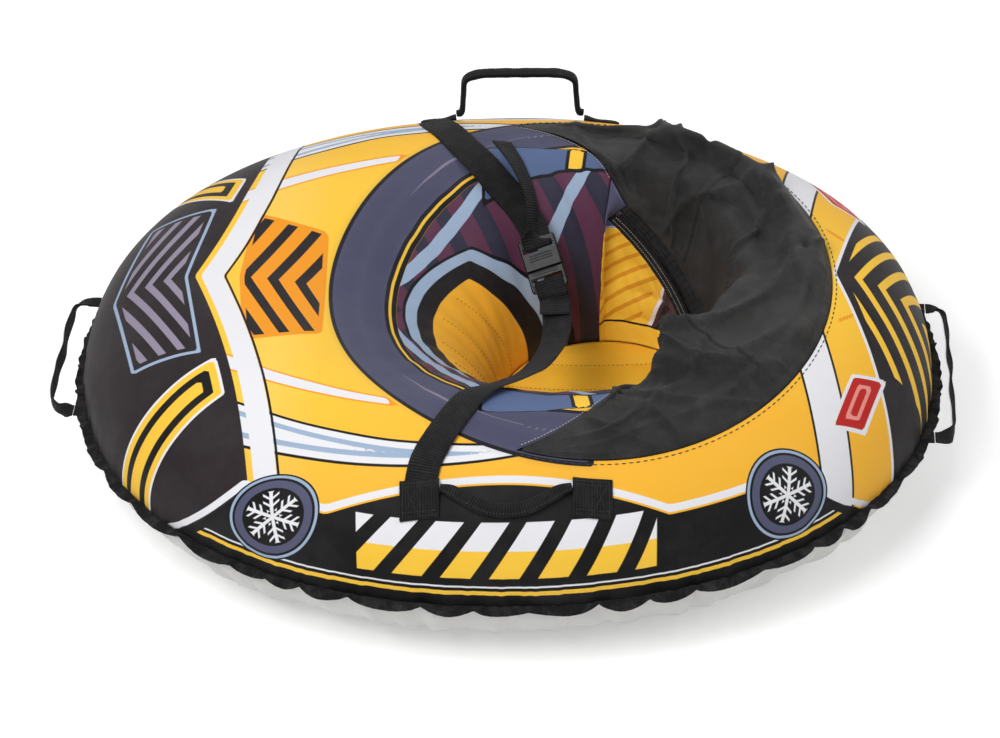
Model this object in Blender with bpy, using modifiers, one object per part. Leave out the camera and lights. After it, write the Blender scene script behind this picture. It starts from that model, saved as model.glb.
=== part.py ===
"""Child's oval snow tube: an inflated ring in a sewn cover, with a zipped gusset, belt and handles.

Metres, +Z up. +X is the rear, -X the nose, and the origin lies under the middle of the oval.
"""
from math import atan2, cos, hypot, pi, radians, sin, sqrt

import bmesh
import bpy
from mathutils import Matrix, Vector

# Oval body of the cover
HALF_LENGTH = 0.536
HALF_WIDTH = 0.408
OVAL_POWER = 2.1
RIM_HEIGHT = 0.122
CREST_HEIGHT = 0.280
CREST_INSET = 0.166
BASE_INSET = 0.143
CLOTH = 0.0015
SEAM_GAP = 0.0006

# Seat opening and well
OPENING_X = 0.094
OPENING_RADIUS = 0.308
OPENING_TIP = radians(105.6)
WELL_X = 0.125
WELL_HALF_LENGTH = 0.140
WELL_HALF_WIDTH = 0.125
SEAT_HEIGHT = 0.045
SEAT_SAG = 0.010
WELL_SIDE = radians(78.6)
TIP_OVERLAP = radians(8)
SIDE_EDGE_RADIUS = 0.200

# Inner tube
TUBE_WALL = 0.0015
TUBE_EASE = 0.0030
TUBE_REST_GAP = 0.0004
TUBE_BASE_MARGIN = 0.012
TUBE_WELL_ROOM_LENGTH = 0.025
TUBE_WELL_ROOM_WIDTH = 0.035
TUBE_HOLE_HALF_LENGTH = WELL_HALF_LENGTH + TUBE_WELL_ROOM_LENGTH
TUBE_HOLE_HALF_WIDTH = WELL_HALF_WIDTH + TUBE_WELL_ROOM_WIDTH
TUBE_HOLE_HEIGHT = 0.110
TUBE_HOLE_FOOT = 0.045

# Valve
VALVE_HEIGHT = 0.085
VALVE_REACH = 0.0345
STEM_RADIUS = 0.0042
STEM_BORE_RADIUS = 0.0026
FLANGE_RADIUS = 0.0130
FLANGE_THICKNESS = 0.0022
STEM_SEAT_GAP = 0.0014
VALVE_CLEARANCE = 0.0004
CORE_RADIUS = 0.0020
CORE_LENGTH = 0.0180
CORE_RECESS = 0.0030
CAP_RADIUS = 0.0062
CAP_LENGTH = 0.0120
CAP_TOP = 0.0025

# Edge binding
BINDING_WIDTH = 0.0125
BINDING_THICKNESS = 0.0036
BINDING_GAP = 0.0010
RUFFLE = 0.0030
RUFFLE_WAVES = (17, 23)

# Zip, on a tilted arc round the back of the well
ZIP_X = 0.125
ZIP_HEIGHT = 0.248
ZIP_CREST_ROOM = 0.070
ZIP_RADIUS = HALF_WIDTH - CREST_INSET - ZIP_CREST_ROOM
ZIP_TILT = radians(45)
ZIP_END = radians(80)
TAPE_WIDTH = 0.0140
TAPE_THICKNESS = 0.0008
COIL_WIDTH = 0.0024
COIL_THICKNESS = 0.0020
COIL_PARTING = 0.0009
TAPE_GAP = 0.0004
STOP_LENGTH = 0.0050
SLIDER_LENGTH = 0.0150
SLIDER_WIDTH = 0.0100
SLIDER_PLATE = 0.0012
SLIDER_CLEARANCE = 0.0007
SLIDER_POST = 0.0010
SLIDER_PARK = radians(75)
BAIL_RISE = 0.0040
BAIL_THICKNESS = 0.0014
BAIL_SPAN = 0.0080
PULL_LENGTH = 0.0280
PULL_WIDTH = 0.0055
PULL_THICKNESS = 0.0013
PULL_EYE = 0.0040
PULL_PLAY = 0.0004

# Gusset of black nylon
NYLON = 0.0012
GUSSET_SEAM_GAP = 0.0012
LINING_TOP_GAP = 0.0030
CUFF_RISE = 0.036
SHOULDER_RISE = 0.030
OVERHANG_RISE = 0.016
FOLD_DEPTH = 0.006
FULL_FOLD_SPAN = 0.060
NECK_RISE = 0.010
SEAM_STRIP = 0.006

# Belt and buckle
WEBBING_WIDTH = 0.038
WEBBING_THICKNESS = 0.0016
BUCKLE_X = 0.0450
BUCKLE_Y = 0.1000
BUCKLE_Z = 0.2120
BUCKLE_ROLL = radians(20)
BUCKLE_WIDTH = 0.0480
BUCKLE_THICKNESS = 0.0120
BUCKLE_BEVEL = 0.0015
SOCKET_BACK = 0.0300
SOCKET_FRONT = 0.0120
BAR_THICKNESS = 0.0050
BAR_WIDTH = 0.0095
SLOT_WIDTH = 0.0085
RAIL_WIDTH = 0.0034
MOUTH_WIDTH = 0.0390
MOUTH_HEIGHT = 0.0070
MOUTH_DEPTH = 0.0200
WINDOW_LENGTH = 0.0110
LATCH_GAP = 0.0005
LATCH_LENGTH = 0.0270
PRONG_WIDTH = 0.0040
PRONG_LENGTH = 0.0180
PRONG_HEAD = 0.0070
PRONG_PLAY = 0.0006
GUIDE_WIDTH = 0.0060
LOOP_RADIUS = 0.0040

# Grip handles and their patches
NEAR_GRIP_X = 0.0
NEAR_GRIP_SPAN = 0.1530
FAR_GRIP_X = 0.0170
FAR_GRIP_SPAN = 0.1680
GRIP_WIDTH = 0.0170
GRIP_THICKNESS = 0.0080
GRIP_END_WIDTH = 0.0100
GRIP_CLEARANCE = 0.0076
GRIP_Y = 0.3380
NEAR_GRIP_DROP = 0.0270
FAR_GRIP_RISE = 0.0670
PATCH_LENGTH = 0.0460
PATCH_HEIGHT = 0.0420
PATCH_THICKNESS = 0.0028
PATCH_GAP = 0.0004
GRIP_END_GAP = 0.0008
PATCH_TOP_INSET = 0.0800

# Loops at the nose and the rear
LOOP_WEBBING_WIDTH = 0.0250
LOOP_END_WIDTH = 0.0180
LOOP_TWIST_LENGTH = 0.0180
NOSE_LOOP_STANDOFF = 0.0032
REAR_LOOP_STANDOFF = 0.0037
NOSE_LOOP_FROM = 0.125
NOSE_LOOP_TO = -0.075
NOSE_LOOP_REACH = 0.0330
REAR_LOOP_FROM = 0.100
REAR_LOOP_TO = -0.134
REAR_LOOP_REACH = 0.0250

# Sampling
BISECTIONS = 40
REAR_COLUMNS = 24
TIP_COLUMNS = 5
FRONT_COLUMNS = 28
OUTER_ROWS = 8
INNER_ROWS = 8
BASE_ROWS = 7
TUBE_COLUMNS = 36
TUBE_STEPS = 4
SEAT_RINGS = 3
LINING_ROWS = 5
LINING_END_ROWS = 2
GUSSET_TIP_COLUMNS = 7
GUSSET_REAR_COLUMNS = 30
GUSSET_ROWS = 10
BINDING_COLUMNS = 120
ZIP_COLUMNS = 36
PATCH_STEPS = 6
ROUND_STEPS = 16
OVERRUN = 0.0020
LEAST_SPACING = 0.00001

QUARTER = pi / 2
PARTS = "snow_tube"
CUTTERS = "cutters"


def clear_scene():
    """Starts from an empty file."""
    for item in list(bpy.data.objects):
        bpy.data.objects.remove(item, do_unlink=True)


def make_collection(name):
    """A collection linked to the scene."""
    group = bpy.data.collections.new(name)
    bpy.context.scene.collection.children.link(group)
    return group


def finish_material(name, color, roughness, metallic=0.0):
    """A plain surface of one colour."""
    made = bpy.data.materials.new(name)
    made.use_nodes = True
    shader = made.node_tree.nodes["Principled BSDF"]
    shader.inputs["Base Color"].default_value = (*color, 1)
    shader.inputs["Roughness"].default_value = roughness
    shader.inputs["Metallic"].default_value = metallic
    made.diffuse_color = (*color, 1)
    return made


def add_object(name, mesh, material, origin=None, group=PARTS):
    """Links a world-space mesh as an object whose own origin lies at the given point."""
    item = bpy.data.objects.new(name, mesh)
    bpy.data.collections[group].objects.link(item)
    if material:
        mesh.materials.append(bpy.data.materials[material])
    if origin is not None:
        mesh.transform(Matrix.Translation(-Vector(origin)))
        item.location = origin
    return item


def mesh_from(name, points, faces, smooth=True):
    """A mesh whose faces are split the same way on both of its skins."""
    mesh = bpy.data.meshes.new(name)
    mesh.from_pydata([tuple(p) for p in points], [], faces)
    work = bmesh.new()
    work.from_mesh(mesh)
    bmesh.ops.triangulate(work, faces=[f for f in work.faces if len(f.verts) == 4])
    work.to_mesh(mesh)
    work.free()
    mesh.polygons.foreach_set("use_smooth", [smooth] * len(mesh.polygons))
    return mesh


def grid_faces(rows, columns, closed, start=0):
    """Quads of a grid whose points are stored row by row."""
    faces = []
    for row in range(rows - 1):
        for column in range(columns if closed else columns - 1):
            following = (column + 1) % columns
            lower = start + row * columns
            upper = lower + columns
            faces.append((lower + column, lower + following, upper + following, upper + column))
    return faces


def used_points(points, faces):
    """The same faces, with the points that none of them uses left out."""
    used = sorted({index for face in faces for index in face})
    order = {index: position for position, index in enumerate(used)}
    return [points[index] for index in used], [tuple(order[index] for index in face) for face in faces]


def give_thickness(item, thickness, side=-1.0, even=True):
    """A wall on one side of an open surface; side -1 grows it against the normals."""
    wall = item.modifiers.new("wall", "SOLIDIFY")
    wall.thickness = thickness
    wall.offset = side
    wall.use_even_offset = even
    wall.use_rim = True
    return wall


def sheet(name, rows, closed, thickness, material, origin=None, side=-1.0, even=True):
    """A cloth or webbing piece from rows of points, with a wall of the given thickness."""
    points = [p for row in rows for p in row]
    mesh = mesh_from(name, points, grid_faces(len(rows), len(rows[0]), closed))
    item = add_object(name, mesh, material, origin)
    give_thickness(item, thickness, side, even)
    return item


def soften(item, width, segments=1, angle=radians(40)):
    """Rounds the sharp edges."""
    bevel = item.modifiers.new("edges", "BEVEL")
    bevel.width = width
    bevel.segments = segments
    bevel.limit_method = "ANGLE"
    bevel.angle_limit = angle
    return bevel


def box_mesh(name, low, high):
    """A box between two corners."""
    mesh = bpy.data.meshes.new(name)
    work = bmesh.new()
    bmesh.ops.create_cube(work, size=1)
    size = [h - l for l, h in zip(low, high)]
    middle = [(h + l) / 2 for l, h in zip(low, high)]
    bmesh.ops.scale(work, vec=size, verts=work.verts)
    bmesh.ops.translate(work, vec=middle, verts=work.verts)
    work.to_mesh(mesh)
    work.free()
    return mesh


def cutter(name, mesh, matrix=None):
    """A hidden shape that other pieces are cut with."""
    item = add_object(name, mesh, None, group=CUTTERS)
    item.hide_render = True
    item.display_type = "WIRE"
    if matrix is not None:
        item.matrix_world = matrix
    return item


def cut(item, tool, operation="DIFFERENCE"):
    """Cuts, or with UNION joins, a tool and a piece."""
    change = item.modifiers.new(tool.name, "BOOLEAN")
    change.operation = operation
    change.solver = "EXACT"
    change.object = tool


def rounded(item, angle=radians(35)):
    """Shades a turned or bevelled piece smooth, with its corners kept sharp."""
    item.data.shade_smooth()
    item.data.set_sharp_from_angle(angle=angle)


def mix(a, b, share):
    """A value between two others."""
    return a + (b - a) * share


def ease(share):
    """A smooth step from 0 to 1."""
    return share * share * (3 - 2 * share)


def smooth_route(points, steps):
    """A smooth curve through unevenly spaced points, with a number of steps between each pair."""
    knots = [Vector(p) for p in points]
    knots = [knots[0] * 2 - knots[1]] + knots + [knots[-1] * 2 - knots[-2]]
    route = []
    for p0, p1, p2, p3 in zip(knots, knots[1:], knots[2:], knots[3:]):
        t1 = sqrt((p1 - p0).length + LEAST_SPACING)
        t2 = t1 + sqrt((p2 - p1).length + LEAST_SPACING)
        t3 = t2 + sqrt((p3 - p2).length + LEAST_SPACING)
        for step in range(steps):
            t = mix(t1, t2, step / steps)
            first = p0.lerp(p1, t / t1)
            middle = p1.lerp(p2, (t - t1) / (t2 - t1))
            last = p2.lerp(p3, (t - t2) / (t3 - t2))
            left = first.lerp(middle, t / t2)
            right = middle.lerp(last, (t - t1) / (t3 - t1))
            route.append(left.lerp(right, (t - t1) / (t2 - t1)))
    route.append(knots[-2])
    return route


# Shape of the cover


def oval_reach(angle, half_length, half_width, power=OVAL_POWER, centre_x=0.0):
    """Distance from the opening's centre to an oval, in one direction."""
    low = 0.0
    high = HALF_LENGTH + HALF_WIDTH + OPENING_X
    for _ in range(BISECTIONS):
        middle = (low + high) / 2
        x = OPENING_X + middle * cos(angle) - centre_x
        y = middle * sin(angle)
        if abs(x / half_length) ** power + abs(y / half_width) ** power < 1:
            low = middle
        else:
            high = middle
    return low


def inset_reach(angle, inset):
    """Distance from the opening's centre to the rim's oval, drawn in by an inset."""
    return oval_reach(angle, HALF_LENGTH - inset, HALF_WIDTH - inset)


def well_reach(angle, margin=0.0):
    """Distance from the opening's centre to the foot of the well."""
    return oval_reach(angle, WELL_HALF_LENGTH + margin, WELL_HALF_WIDTH + margin, 2, WELL_X)


def at_reach(angle, reach, height):
    """A point by direction and distance from the opening's centre."""
    return Vector((OPENING_X + reach * cos(angle), reach * sin(angle), height))


def cover_profile(angle, turn, inset=0.0):
    """Reach and height on the cover: turn is 0 at the rim, 1 on the crest and 2 at the well's foot."""
    crest = CREST_HEIGHT - inset
    if turn <= 1:
        arc = turn * QUARTER
        drawn = inset + (CREST_INSET - inset) * (1 - cos(arc))
        return inset_reach(angle, drawn), RIM_HEIGHT + (crest - RIM_HEIGHT) * sin(arc)
    arc = (turn - 1) * QUARTER
    outer = inset_reach(angle, CREST_INSET)
    inner = well_reach(angle, inset)
    return outer - (outer - inner) * sin(arc), SEAT_HEIGHT + (crest - SEAT_HEIGHT) * cos(arc)


def turn_at_reach(angle, reach, inset=0.0):
    """The turn at which the cover's profile passes a distance from the opening's centre."""
    low, high = 0.0, 2.0
    for _ in range(BISECTIONS):
        middle = (low + high) / 2
        if cover_profile(angle, middle, inset)[0] > reach:
            low = middle
        else:
            high = middle
    return low


def cover_point(angle, turn, inset=0.0):
    """A point on the cover."""
    reach, height = cover_profile(angle, turn, inset)
    return at_reach(angle, reach, height)


def side_edge_reach(angle):
    """Where the printed side panel ends and the gusset starts, from the opening's tip to the zip."""
    share = (OPENING_TIP - abs(angle)) / (OPENING_TIP - WELL_SIDE)
    return mix(OPENING_RADIUS, SIDE_EDGE_RADIUS, min(max(share, 0), 1))


def cover_angles():
    """Directions of the cover's columns, once round from the near side of the zip."""
    rear = [mix(-WELL_SIDE, WELL_SIDE, k / REAR_COLUMNS) for k in range(REAR_COLUMNS)]
    far = [mix(WELL_SIDE, OPENING_TIP, k / TIP_COLUMNS) for k in range(TIP_COLUMNS)]
    front = [mix(OPENING_TIP, 2 * pi - OPENING_TIP, k / FRONT_COLUMNS) for k in range(FRONT_COLUMNS)]
    near = [mix(-OPENING_TIP, -WELL_SIDE, k / TIP_COLUMNS) + 2 * pi for k in range(TIP_COLUMNS)]
    return rear + far + front + near


def make_top_cover():
    """Printed shell: a full ring outside the opening, and the front of the well inside it."""
    angles = cover_angles()
    columns = len(angles)
    points = []
    for row in range(OUTER_ROWS + 1):
        for angle in angles:
            seam = turn_at_reach(angle, OPENING_RADIUS)
            turn = seam * row / OUTER_ROWS
            reach, height = cover_profile(angle, turn)
            lift = SEAM_GAP / 2 if row == 0 else 0
            points.append(at_reach(angle, reach, height + lift))
    faces = grid_faces(OUTER_ROWS + 1, columns, True)
    first = REAR_COLUMNS
    inner_angles = angles[first:] + [2 * pi - WELL_SIDE]
    inner_columns = len(inner_angles)
    start = len(points)
    for row in range(INNER_ROWS + 1):
        for angle in inner_angles:
            signed = angle if angle <= pi else angle - 2 * pi
            edge = turn_at_reach(angle, side_edge_reach(signed) - GUSSET_SEAM_GAP)
            points.append(cover_point(angle, mix(edge, 2.0, row / INNER_ROWS)))
    faces += grid_faces(INNER_ROWS + 1, inner_columns, False, start)
    seam_row = OUTER_ROWS * columns
    joined = range(first + TIP_COLUMNS, first + TIP_COLUMNS + FRONT_COLUMNS + 1)
    twins = {start + column - first: seam_row + column % columns for column in joined}
    faces = [tuple(twins.get(index, index) for index in face) for face in faces]
    points, faces = used_points(points, faces)
    mesh = mesh_from("top_cover", points, faces)
    give_thickness(add_object("top_cover", mesh, "printed_fabric"), CLOTH)


def make_bottom_cover():
    """Coated fabric from the rim down to one flat base."""
    angles = cover_angles()
    columns = len(angles)
    rows = []
    for row in range(BASE_ROWS + 1):
        arc = QUARTER * row / BASE_ROWS
        ring = []
        for angle in angles:
            drawn = BASE_INSET * (1 - cos(arc))
            lowering = SEAM_GAP / 2 if row == 0 else 0
            height = RIM_HEIGHT * (1 - sin(arc)) - lowering
            ring.append(at_reach(angle, inset_reach(angle, drawn), height))
        rows.append(ring)
    faces = [tuple(reversed(face)) for face in grid_faces(len(rows), columns, True)]
    base = tuple(BASE_ROWS * columns + column for column in range(columns))
    mesh = mesh_from("bottom_cover", [p for row in rows for p in row], faces + [tuple(reversed(base))])
    give_thickness(add_object("bottom_cover", mesh, "coated_fabric"), CLOTH)


def make_seat_floor():
    """Quilted fabric at the bottom of the well, sagging a little."""
    angles = cover_angles()[::2]
    rows = []
    for ring in range(SEAT_RINGS):
        share = 1 - ring / SEAT_RINGS
        height = SEAT_HEIGHT - SEAT_SAG * (1 - share ** 2)
        rows.append([at_reach(a, (well_reach(a) - SEAM_GAP - CLOTH) * share, height) for a in angles])
    points = [p for row in rows for p in row]
    faces = grid_faces(SEAT_RINGS, len(angles), True)
    centre = len(points)
    last = (SEAT_RINGS - 1) * len(angles)
    points.append(Vector((OPENING_X, 0, SEAT_HEIGHT - SEAT_SAG)))
    for column in range(len(angles)):
        faces.append((last + column, last + (column + 1) % len(angles), centre))
    mesh = mesh_from("seat_floor", points, faces)
    give_thickness(add_object("seat_floor", mesh, "seat_fabric"), CLOTH)


# Inner tube and valve


def tube_hole_reach(angle):
    """Distance from the opening's centre to the tube's own hole."""
    return oval_reach(angle, TUBE_HOLE_HALF_LENGTH, TUBE_HOLE_HALF_WIDTH, 2, WELL_X)


def tube_height(angle, reach):
    """Height of the tube's upper side at a distance from the opening's centre."""
    inset = CLOTH + TUBE_EASE
    outer = inset_reach(angle, CREST_INSET)
    under_cover = cover_profile(angle, turn_at_reach(angle, reach, inset), inset)[1]
    if reach >= outer:
        return under_cover
    share = min((outer - reach) / (outer - tube_hole_reach(angle)), 1)
    own = TUBE_HOLE_HEIGHT + (CREST_HEIGHT - inset - TUBE_HOLE_HEIGHT) * sqrt(1 - share ** 2)
    if cos(angle) > cos(WELL_SIDE - TIP_OVERLAP):
        return own
    return min(own, under_cover)


def tube_section(angle, inset):
    """Points round the tube's section in one direction, from the rim over the crest and back below."""
    crest = CREST_HEIGHT - inset
    floor = CLOTH + TUBE_REST_GAP
    outer = inset_reach(angle, CREST_INSET)
    hole = tube_hole_reach(angle)
    foot = hole + TUBE_HOLE_FOOT
    section = []
    for step in range(TUBE_STEPS):
        section.append(cover_profile(angle, step / TUBE_STEPS, inset))
    for step in range(TUBE_STEPS):
        arc = QUARTER * step / TUBE_STEPS
        reach = outer - (outer - hole) * sin(arc)
        section.append((reach, tube_height(angle, reach) if step else crest))
    for step in range(TUBE_STEPS):
        arc = QUARTER * step / TUBE_STEPS
        height = floor + (TUBE_HOLE_HEIGHT - floor) * (1 - sin(arc))
        section.append((foot - (foot - hole) * cos(arc), height))
    section.append((foot, floor))
    for step in range(TUBE_STEPS):
        arc = QUARTER * (1 - step / TUBE_STEPS)
        drawn = inset + (BASE_INSET + TUBE_BASE_MARGIN - inset) * (1 - cos(arc))
        height = RIM_HEIGHT - (RIM_HEIGHT - floor) * sin(arc)
        section.append((inset_reach(angle, drawn), height))
    return section


def make_inner_tube():
    """Rubber ring, hollow, with a hole for the valve in its inner wall."""
    inset = CLOTH + TUBE_EASE
    rows = []
    for column in range(TUBE_COLUMNS):
        angle = 2 * pi * column / TUBE_COLUMNS
        rows.append([at_reach(angle, reach, height) for reach, height in tube_section(angle, inset)])
    count = len(rows[0])
    faces = grid_faces(TUBE_COLUMNS + 1, count, True)
    faces = [tuple(index % (TUBE_COLUMNS * count) for index in reversed(face)) for face in faces]
    mesh = mesh_from("inner_tube", [p for row in rows for p in row], faces)
    tube = add_object("inner_tube", mesh, "tube_rubber")
    give_thickness(tube, TUBE_WALL)
    hole = turned_mesh("valve_hole", [(STEM_RADIUS + VALVE_CLEARANCE, -FLANGE_RADIUS),
                                      (STEM_RADIUS + VALVE_CLEARANCE, FLANGE_RADIUS)])
    cut(tube, cutter("valve_hole", hole, valve_matrix()))


def tube_wall_x():
    """The tube's inner wall at the valve's height, at the rear of the well."""
    floor = CLOTH + TUBE_REST_GAP
    share = (VALVE_HEIGHT - floor) / (TUBE_HOLE_HEIGHT - floor)
    foot_share = 1 - sqrt(1 - (1 - share) ** 2)
    return WELL_X + TUBE_HOLE_HALF_LENGTH + TUBE_HOLE_FOOT * foot_share


def valve_matrix():
    """Valve's place: its own +Z points forward, out of the tube and into the space behind the lining."""
    return Matrix.Translation((tube_wall_x(), 0, VALVE_HEIGHT)) @ Matrix.Rotation(-QUARTER, 4, "Y")


def turned_mesh(name, profile):
    """A solid of revolution round Z, from radius and height pairs, closed at both ends."""
    rings = [[Vector((r * cos(a), r * sin(a), z)) for a in
              [2 * pi * k / ROUND_STEPS for k in range(ROUND_STEPS)]] for r, z in profile]
    faces = grid_faces(len(rings), ROUND_STEPS, True)
    last = (len(rings) - 1) * ROUND_STEPS
    faces.append(tuple(reversed(range(ROUND_STEPS))))
    faces.append(tuple(last + k for k in range(ROUND_STEPS)))
    mesh = bpy.data.meshes.new(name)
    mesh.from_pydata([tuple(p) for ring in rings for p in ring], [], faces)
    return mesh


def turned_shell(name, profile):
    """A solid of revolution whose closed profile keeps off the axis."""
    rings = [[Vector((r * cos(a), r * sin(a), z)) for a in
              [2 * pi * k / ROUND_STEPS for k in range(ROUND_STEPS)]] for r, z in profile]
    count = len(rings) * ROUND_STEPS
    faces = [tuple(i % count for i in face) for face in grid_faces(len(rings) + 1, ROUND_STEPS, True)]
    mesh = bpy.data.meshes.new(name)
    mesh.from_pydata([tuple(p) for ring in rings for p in ring], [], faces)
    return mesh


def place(item, matrix):
    """Puts a piece modelled at its own origin into the body."""
    item.matrix_world = matrix
    return item


def make_valve():
    """Stem with its flange, the core inside it, and the cap that screws on."""
    flange = STEM_SEAT_GAP + FLANGE_THICKNESS
    root = -FLANGE_RADIUS / 2
    stem = turned_shell("valve_stem", [(STEM_RADIUS, root), (STEM_RADIUS, STEM_SEAT_GAP),
                                       (FLANGE_RADIUS, STEM_SEAT_GAP), (FLANGE_RADIUS, flange),
                                       (STEM_RADIUS, flange + FLANGE_THICKNESS),
                                       (STEM_RADIUS, VALVE_REACH),
                                       (STEM_BORE_RADIUS, VALVE_REACH), (STEM_BORE_RADIUS, root)])
    rounded(place(add_object("valve_stem", stem, "valve_rubber"), valve_matrix()))
    core_top = VALVE_REACH - CORE_RECESS
    core = turned_mesh("valve_core", [(CORE_RADIUS, core_top - CORE_LENGTH), (CORE_RADIUS, core_top)])
    rounded(place(add_object("valve_core", core, "valve_brass"), valve_matrix()))
    cap_low = VALVE_REACH + VALVE_CLEARANCE + CAP_TOP - CAP_LENGTH
    cap_high = VALVE_REACH + VALVE_CLEARANCE + CAP_TOP
    bore = STEM_RADIUS + VALVE_CLEARANCE
    cap = turned_mesh("valve_cap", [(bore, cap_high - CAP_TOP), (bore, cap_low), (CAP_RADIUS, cap_low),
                                    (CAP_RADIUS, cap_high)])
    rounded(place(add_object("valve_cap", cap, "cap_plastic"), valve_matrix()))


# Edge binding


def make_binding():
    """Gathered tape round the seam: straight along the stitching and wavy at its free edge."""
    rows = []
    for reach_share, wave_share in ((0.0, 0.0), (0.5, 0.6), (1.0, 1.0)):
        ring = []
        for column in range(BINDING_COLUMNS):
            angle = 2 * pi * column / BINDING_COLUMNS
            waves = [sin(count * angle + order) for order, count in enumerate(RUFFLE_WAVES)]
            rise = RUFFLE * wave_share * sum(waves) / len(waves)
            reach = inset_reach(angle, -BINDING_GAP - BINDING_WIDTH * reach_share)
            ring.append(at_reach(angle, reach, RIM_HEIGHT + rise))
        rows.append(ring)
    rows.reverse()
    sheet("edge_binding", rows, True, BINDING_THICKNESS, "binding_tape", side=0.0)


# Zip


def zip_point(angle, radial=0.0, across=0.0):
    """A point by angle on the zip's arc, distance outside it and distance across the tapes."""
    down = Vector((cos(ZIP_TILT), 0, -sin(ZIP_TILT)))
    normal = Vector((sin(ZIP_TILT), 0, cos(ZIP_TILT)))
    outward = down * cos(angle) + Vector((0, sin(angle), 0))
    return Vector((ZIP_X, 0, ZIP_HEIGHT)) + outward * (ZIP_RADIUS + radial) + normal * across


def zip_matrix(angle):
    """Frame on the zip: X along it, Y across towards the gusset, Z into the well."""
    origin = zip_point(angle)
    inward = (Vector((ZIP_X, 0, ZIP_HEIGHT)) - origin).normalized()
    across = Vector((sin(ZIP_TILT), 0, cos(ZIP_TILT)))
    along = across.cross(inward)
    turn = Matrix((along, across, inward)).transposed().to_4x4()
    return Matrix.Translation(origin) @ turn


def zip_strip(name, low, high, radial, thickness, material, end):
    """A strip along the zip, between two distances across it."""
    rows = []
    for across in (low, high):
        angles = [mix(-end, end, k / ZIP_COLUMNS) for k in range(ZIP_COLUMNS + 1)]
        rows.append([zip_point(angle, radial, across) for angle in angles])
    sheet(name, rows, False, thickness, material, side=0.0)


def make_zip():
    """Two tapes with a coil along each, a stop at each end, and the slider with its pull."""
    coil_low = COIL_PARTING
    coil_high = coil_low + COIL_WIDTH
    tape_low = coil_high + TAPE_GAP
    tape_high = tape_low + TAPE_WIDTH
    zip_strip("zip_tape_outer", tape_low, tape_high, 0, TAPE_THICKNESS, "zip_tape", ZIP_END)
    zip_strip("zip_tape_inner", -tape_high, -tape_low, 0, TAPE_THICKNESS, "zip_tape", ZIP_END)
    zip_strip("zip_coil_outer", coil_low, coil_high, 0, COIL_THICKNESS, "zip_coil", ZIP_END)
    zip_strip("zip_coil_inner", -coil_high, -coil_low, 0, COIL_THICKNESS, "zip_coil", ZIP_END)
    for side, word in ((-1, "near"), (1, "far")):
        angle = side * (ZIP_END + (STOP_LENGTH / 2 + TAPE_GAP) / ZIP_RADIUS)
        half = (STOP_LENGTH / 2, coil_high, COIL_THICKNESS)
        name = "zip_stop_" + word
        block = box_mesh(name, [-h for h in half], half)
        soften(place(add_object(name, block, "zip_metal"), zip_matrix(angle)), COIL_THICKNESS / 4)
    make_slider(coil_high)


def make_slider(coil_high):
    """Slider: two plates round the coils, a post between them, and a bail that holds the pull tab."""
    inner = COIL_THICKNESS / 2 + SLIDER_CLEARANCE
    outer = inner + SLIDER_PLATE
    half = (SLIDER_LENGTH / 2, SLIDER_WIDTH / 2)
    matrix = zip_matrix(-SLIDER_PARK)
    body = box_mesh("zip_slider", (-half[0], -half[1], -outer), (half[0], half[1], outer))
    slider = place(add_object("zip_slider", body, "zip_metal"), matrix)
    post = SLIDER_POST / 2
    passage = bmesh.new()
    for side in (-1, 1):
        low, high = sorted((side * post, side * (half[1] + OVERRUN)))
        space = box_mesh("passage", (-half[0] - OVERRUN, low, -inner), (half[0] + OVERRUN, high, inner))
        passage.from_mesh(space)
    mesh = bpy.data.meshes.new("slider_passage")
    passage.to_mesh(mesh)
    passage.free()
    cut(slider, cutter("slider_passage", mesh, matrix))
    span = BAIL_SPAN / 2
    rise = outer + BAIL_RISE
    bail = box_mesh("slider_bail", (-BAIL_THICKNESS / 2, -span, outer - SLIDER_PLATE / 2),
                    (BAIL_THICKNESS / 2, span, rise))
    bail_item = cutter("slider_bail", bail, matrix)
    gap = box_mesh("bail_gap", (-BAIL_THICKNESS, -span + BAIL_THICKNESS / 2, outer),
                   (BAIL_THICKNESS, span - BAIL_THICKNESS / 2, rise - BAIL_THICKNESS))
    cut(bail_item, cutter("bail_gap", gap, matrix))
    cut(slider, bail_item, "UNION")
    pivot = rise - BAIL_THICKNESS / 2
    reach = BAIL_THICKNESS / 2 + PULL_PLAY + PULL_THICKNESS
    tab = box_mesh("zip_pull", (reach - PULL_LENGTH, -PULL_WIDTH / 2, pivot - PULL_THICKNESS / 2),
                   (reach, PULL_WIDTH / 2, pivot + PULL_THICKNESS / 2))
    tab.transform(matrix)
    eye_half = BAIL_THICKNESS / 2 + PULL_PLAY
    origin = matrix @ Vector((0, 0, pivot))
    pull = add_object("zip_pull", tab, "zip_metal", origin)
    ring = box_mesh("pull_eye_block", (-reach, -PULL_EYE / 2, pivot - eye_half - PULL_THICKNESS / 2),
                    (reach, PULL_EYE / 2, pivot + eye_half + PULL_THICKNESS / 2))
    cut(pull, cutter("pull_eye_block", ring, matrix), "UNION")
    eye = box_mesh("pull_eye", (-eye_half, -PULL_WIDTH, pivot - eye_half),
                   (eye_half, PULL_WIDTH, pivot + eye_half))
    cut(pull, cutter("pull_eye", eye, matrix))


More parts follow.
